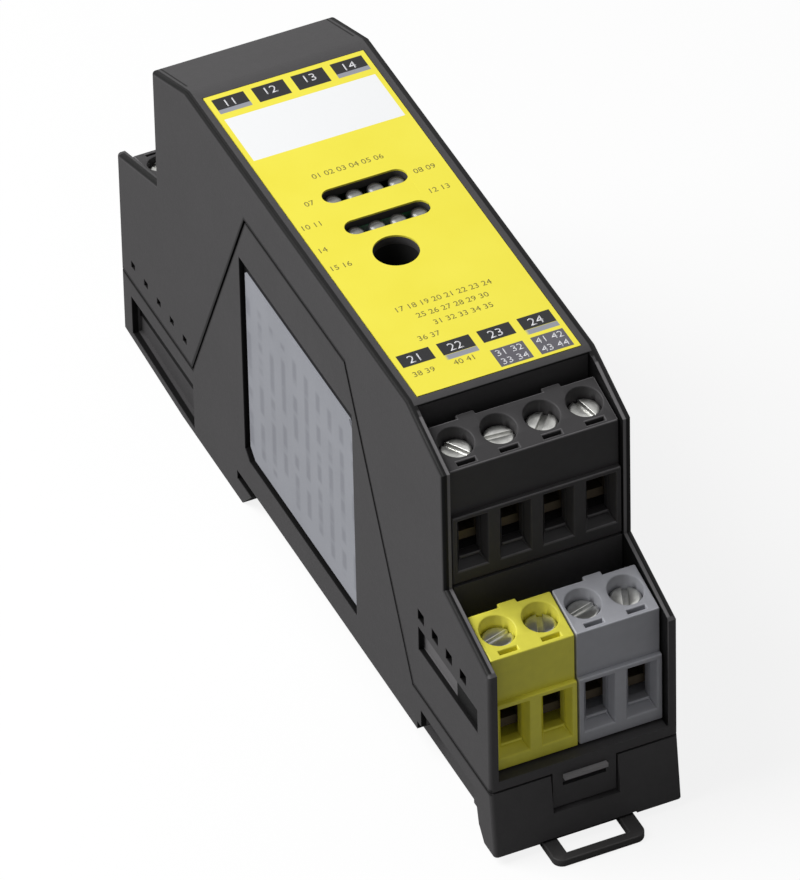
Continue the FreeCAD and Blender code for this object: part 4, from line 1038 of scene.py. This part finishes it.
for name in terminals:
    screws = sorted(node for node in slot_of if node.startswith(name + "_screw_"))
    for number, node in enumerate(screws):
        low, high = (np.array(corner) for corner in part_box(node))
        centre = (low[:2] + high[:2]) / 2
        turn = math.radians(SLOT_TURN * (number + len(screws)) % 180)
        parts = screw_surface(centre, high[2], low[2], turn)
        screw = add_piece(node + "_turned", parts, body_of[node])
        screw.data.materials.append(finishes[slot_of[node]])
        keep_reach(screw, centre)
        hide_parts(node)
print("last screw has", len(screw.data.polygons), "faces")

# %% [markdown]
# ## Indicator lenses
# Each light is a small turned lens: a short wall, a rounded shoulder and a flat dome. A flattened ball
# would lack the wall, so a profile is carried round the axis. The eight lenses of the two rows differ only
# in their places.

# %% Lenses
LENS_PITCH = 2.54 * MM
LENS_RADIUS = 0.95 * MM
LENS_DOME = 0.45 * MM
LENS_SIDES = 40
DOME_RINGS = 12


def lens_surface(centre, top, bottom):
    """A profile turned round the axis: the dome is a quarter ellipse, the wall straight, the foot flat."""
    bend = np.linspace(0, 1, DOME_RINGS) * math.pi / 2
    radius = np.concatenate((LENS_RADIUS * np.sin(bend), (LENS_RADIUS, LENS_RADIUS, 0)))
    height = np.concatenate((top - LENS_DOME * (1 - np.cos(bend)), (top - LENS_DOME, bottom, bottom)))
    angle = np.arange(LENS_SIDES) * 2 * math.pi / LENS_SIDES
    points = np.stack((
        centre[0] + radius[:, None] * np.cos(angle),
        centre[1] + radius[:, None] * np.sin(angle),
        height[:, None] * np.ones(LENS_SIDES),
    ), axis=-1)
    return points.reshape(-1, 3), grid_faces(len(radius), LENS_SIDES, True)[:, ::-1]


for node in ("safety_lights", "status_lights"):
    low, high = (np.array(corner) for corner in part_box(node))
    middle = (low + high) / 2
    count = round((high[0] - low[0] - 2 * LENS_RADIUS) / LENS_PITCH) + 1
    places = middle[0] + (np.arange(count) - (count - 1) / 2) * LENS_PITCH
    parts = [lens_surface((place, middle[1]), high[2], low[2]) for place in places]
    lights = add_piece(node + "_lenses", parts, body_of[node])
    lights.data.materials.append(finishes[slot_of[node]])
    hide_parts(node)
    lean = (middle[1] - points_of(lights.data)[:, 1]) / LENS_RADIUS
    lights.data.attributes.new("lean", "FLOAT", "POINT").data.foreach_set("value", lean)
    print(lights.name, count, "lenses")

# %% [markdown]
# ## The foot's spring
# Behind the rail foot a bow of spring strip pushes the foot home. A bevelled curve could draw it, but its
# ends and corners are easier to close in one array: a strip section with rounded corners, carried along
# half a circle. When the foot is pulled out the bow is pressed flat; here it keeps its shape and rides on
# the housing.

# %% Spring
BOW_THICKNESS = 0.4 * MM
BOW_EDGE = 0.12 * MM
BOW_STEPS = 49
CORNER_POINTS = 5


def strip_section(thickness, height, edge):
    """A rectangle with rounded corners, as offsets across the strip and along its height."""
    bend = np.linspace(0, math.pi / 2, CORNER_POINTS)
    starts = np.arange(4) * math.pi / 2
    across = np.array((1, -1, -1, 1)) * (thickness / 2 - edge)
    along = np.array((1, 1, -1, -1)) * (height / 2 - edge)
    angle = starts[:, None] + bend
    across = across[:, None] + edge * np.cos(angle)
    along = along[:, None] + edge * np.sin(angle)
    return np.stack((across, along), axis=-1).reshape(-1, 2)


low, high = (np.array(corner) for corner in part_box("foot_spring"))
section = strip_section(BOW_THICKNESS, high[2] - low[2], BOW_EDGE)
bow_radius = high[1] - low[1] - BOW_THICKNESS / 2
angle = np.linspace(0, math.pi, BOW_STEPS)
reach = bow_radius + section[:, 0]
bow = np.stack((
    reach * np.cos(angle)[:, None],
    low[1] + reach * np.sin(angle)[:, None],
    (low[2] + high[2]) / 2 + section[:, 1] * np.ones((len(angle), 1)),
), axis=-1)
caps = np.stack((bow[0].mean(axis=0), bow[-1].mean(axis=0)))
caps = caps[:, None] * np.ones((1, len(section), 1))
bow = np.concatenate((caps[:1], bow, caps[1:]))
bow_parts = [(bow.reshape(-1, 3), grid_faces(*bow.shape[:2], True)[:, ::-1])]
spring = add_piece("foot_bow", bow_parts, "housing")
spring.data.materials.append(finishes["spring_steel"])
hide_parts("foot_spring")
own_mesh(spring)
print("bow radius %.1f mm" % (bow_radius / MM))

# %% [markdown]
# ## Closing

# %% Finish
print("scene is built")
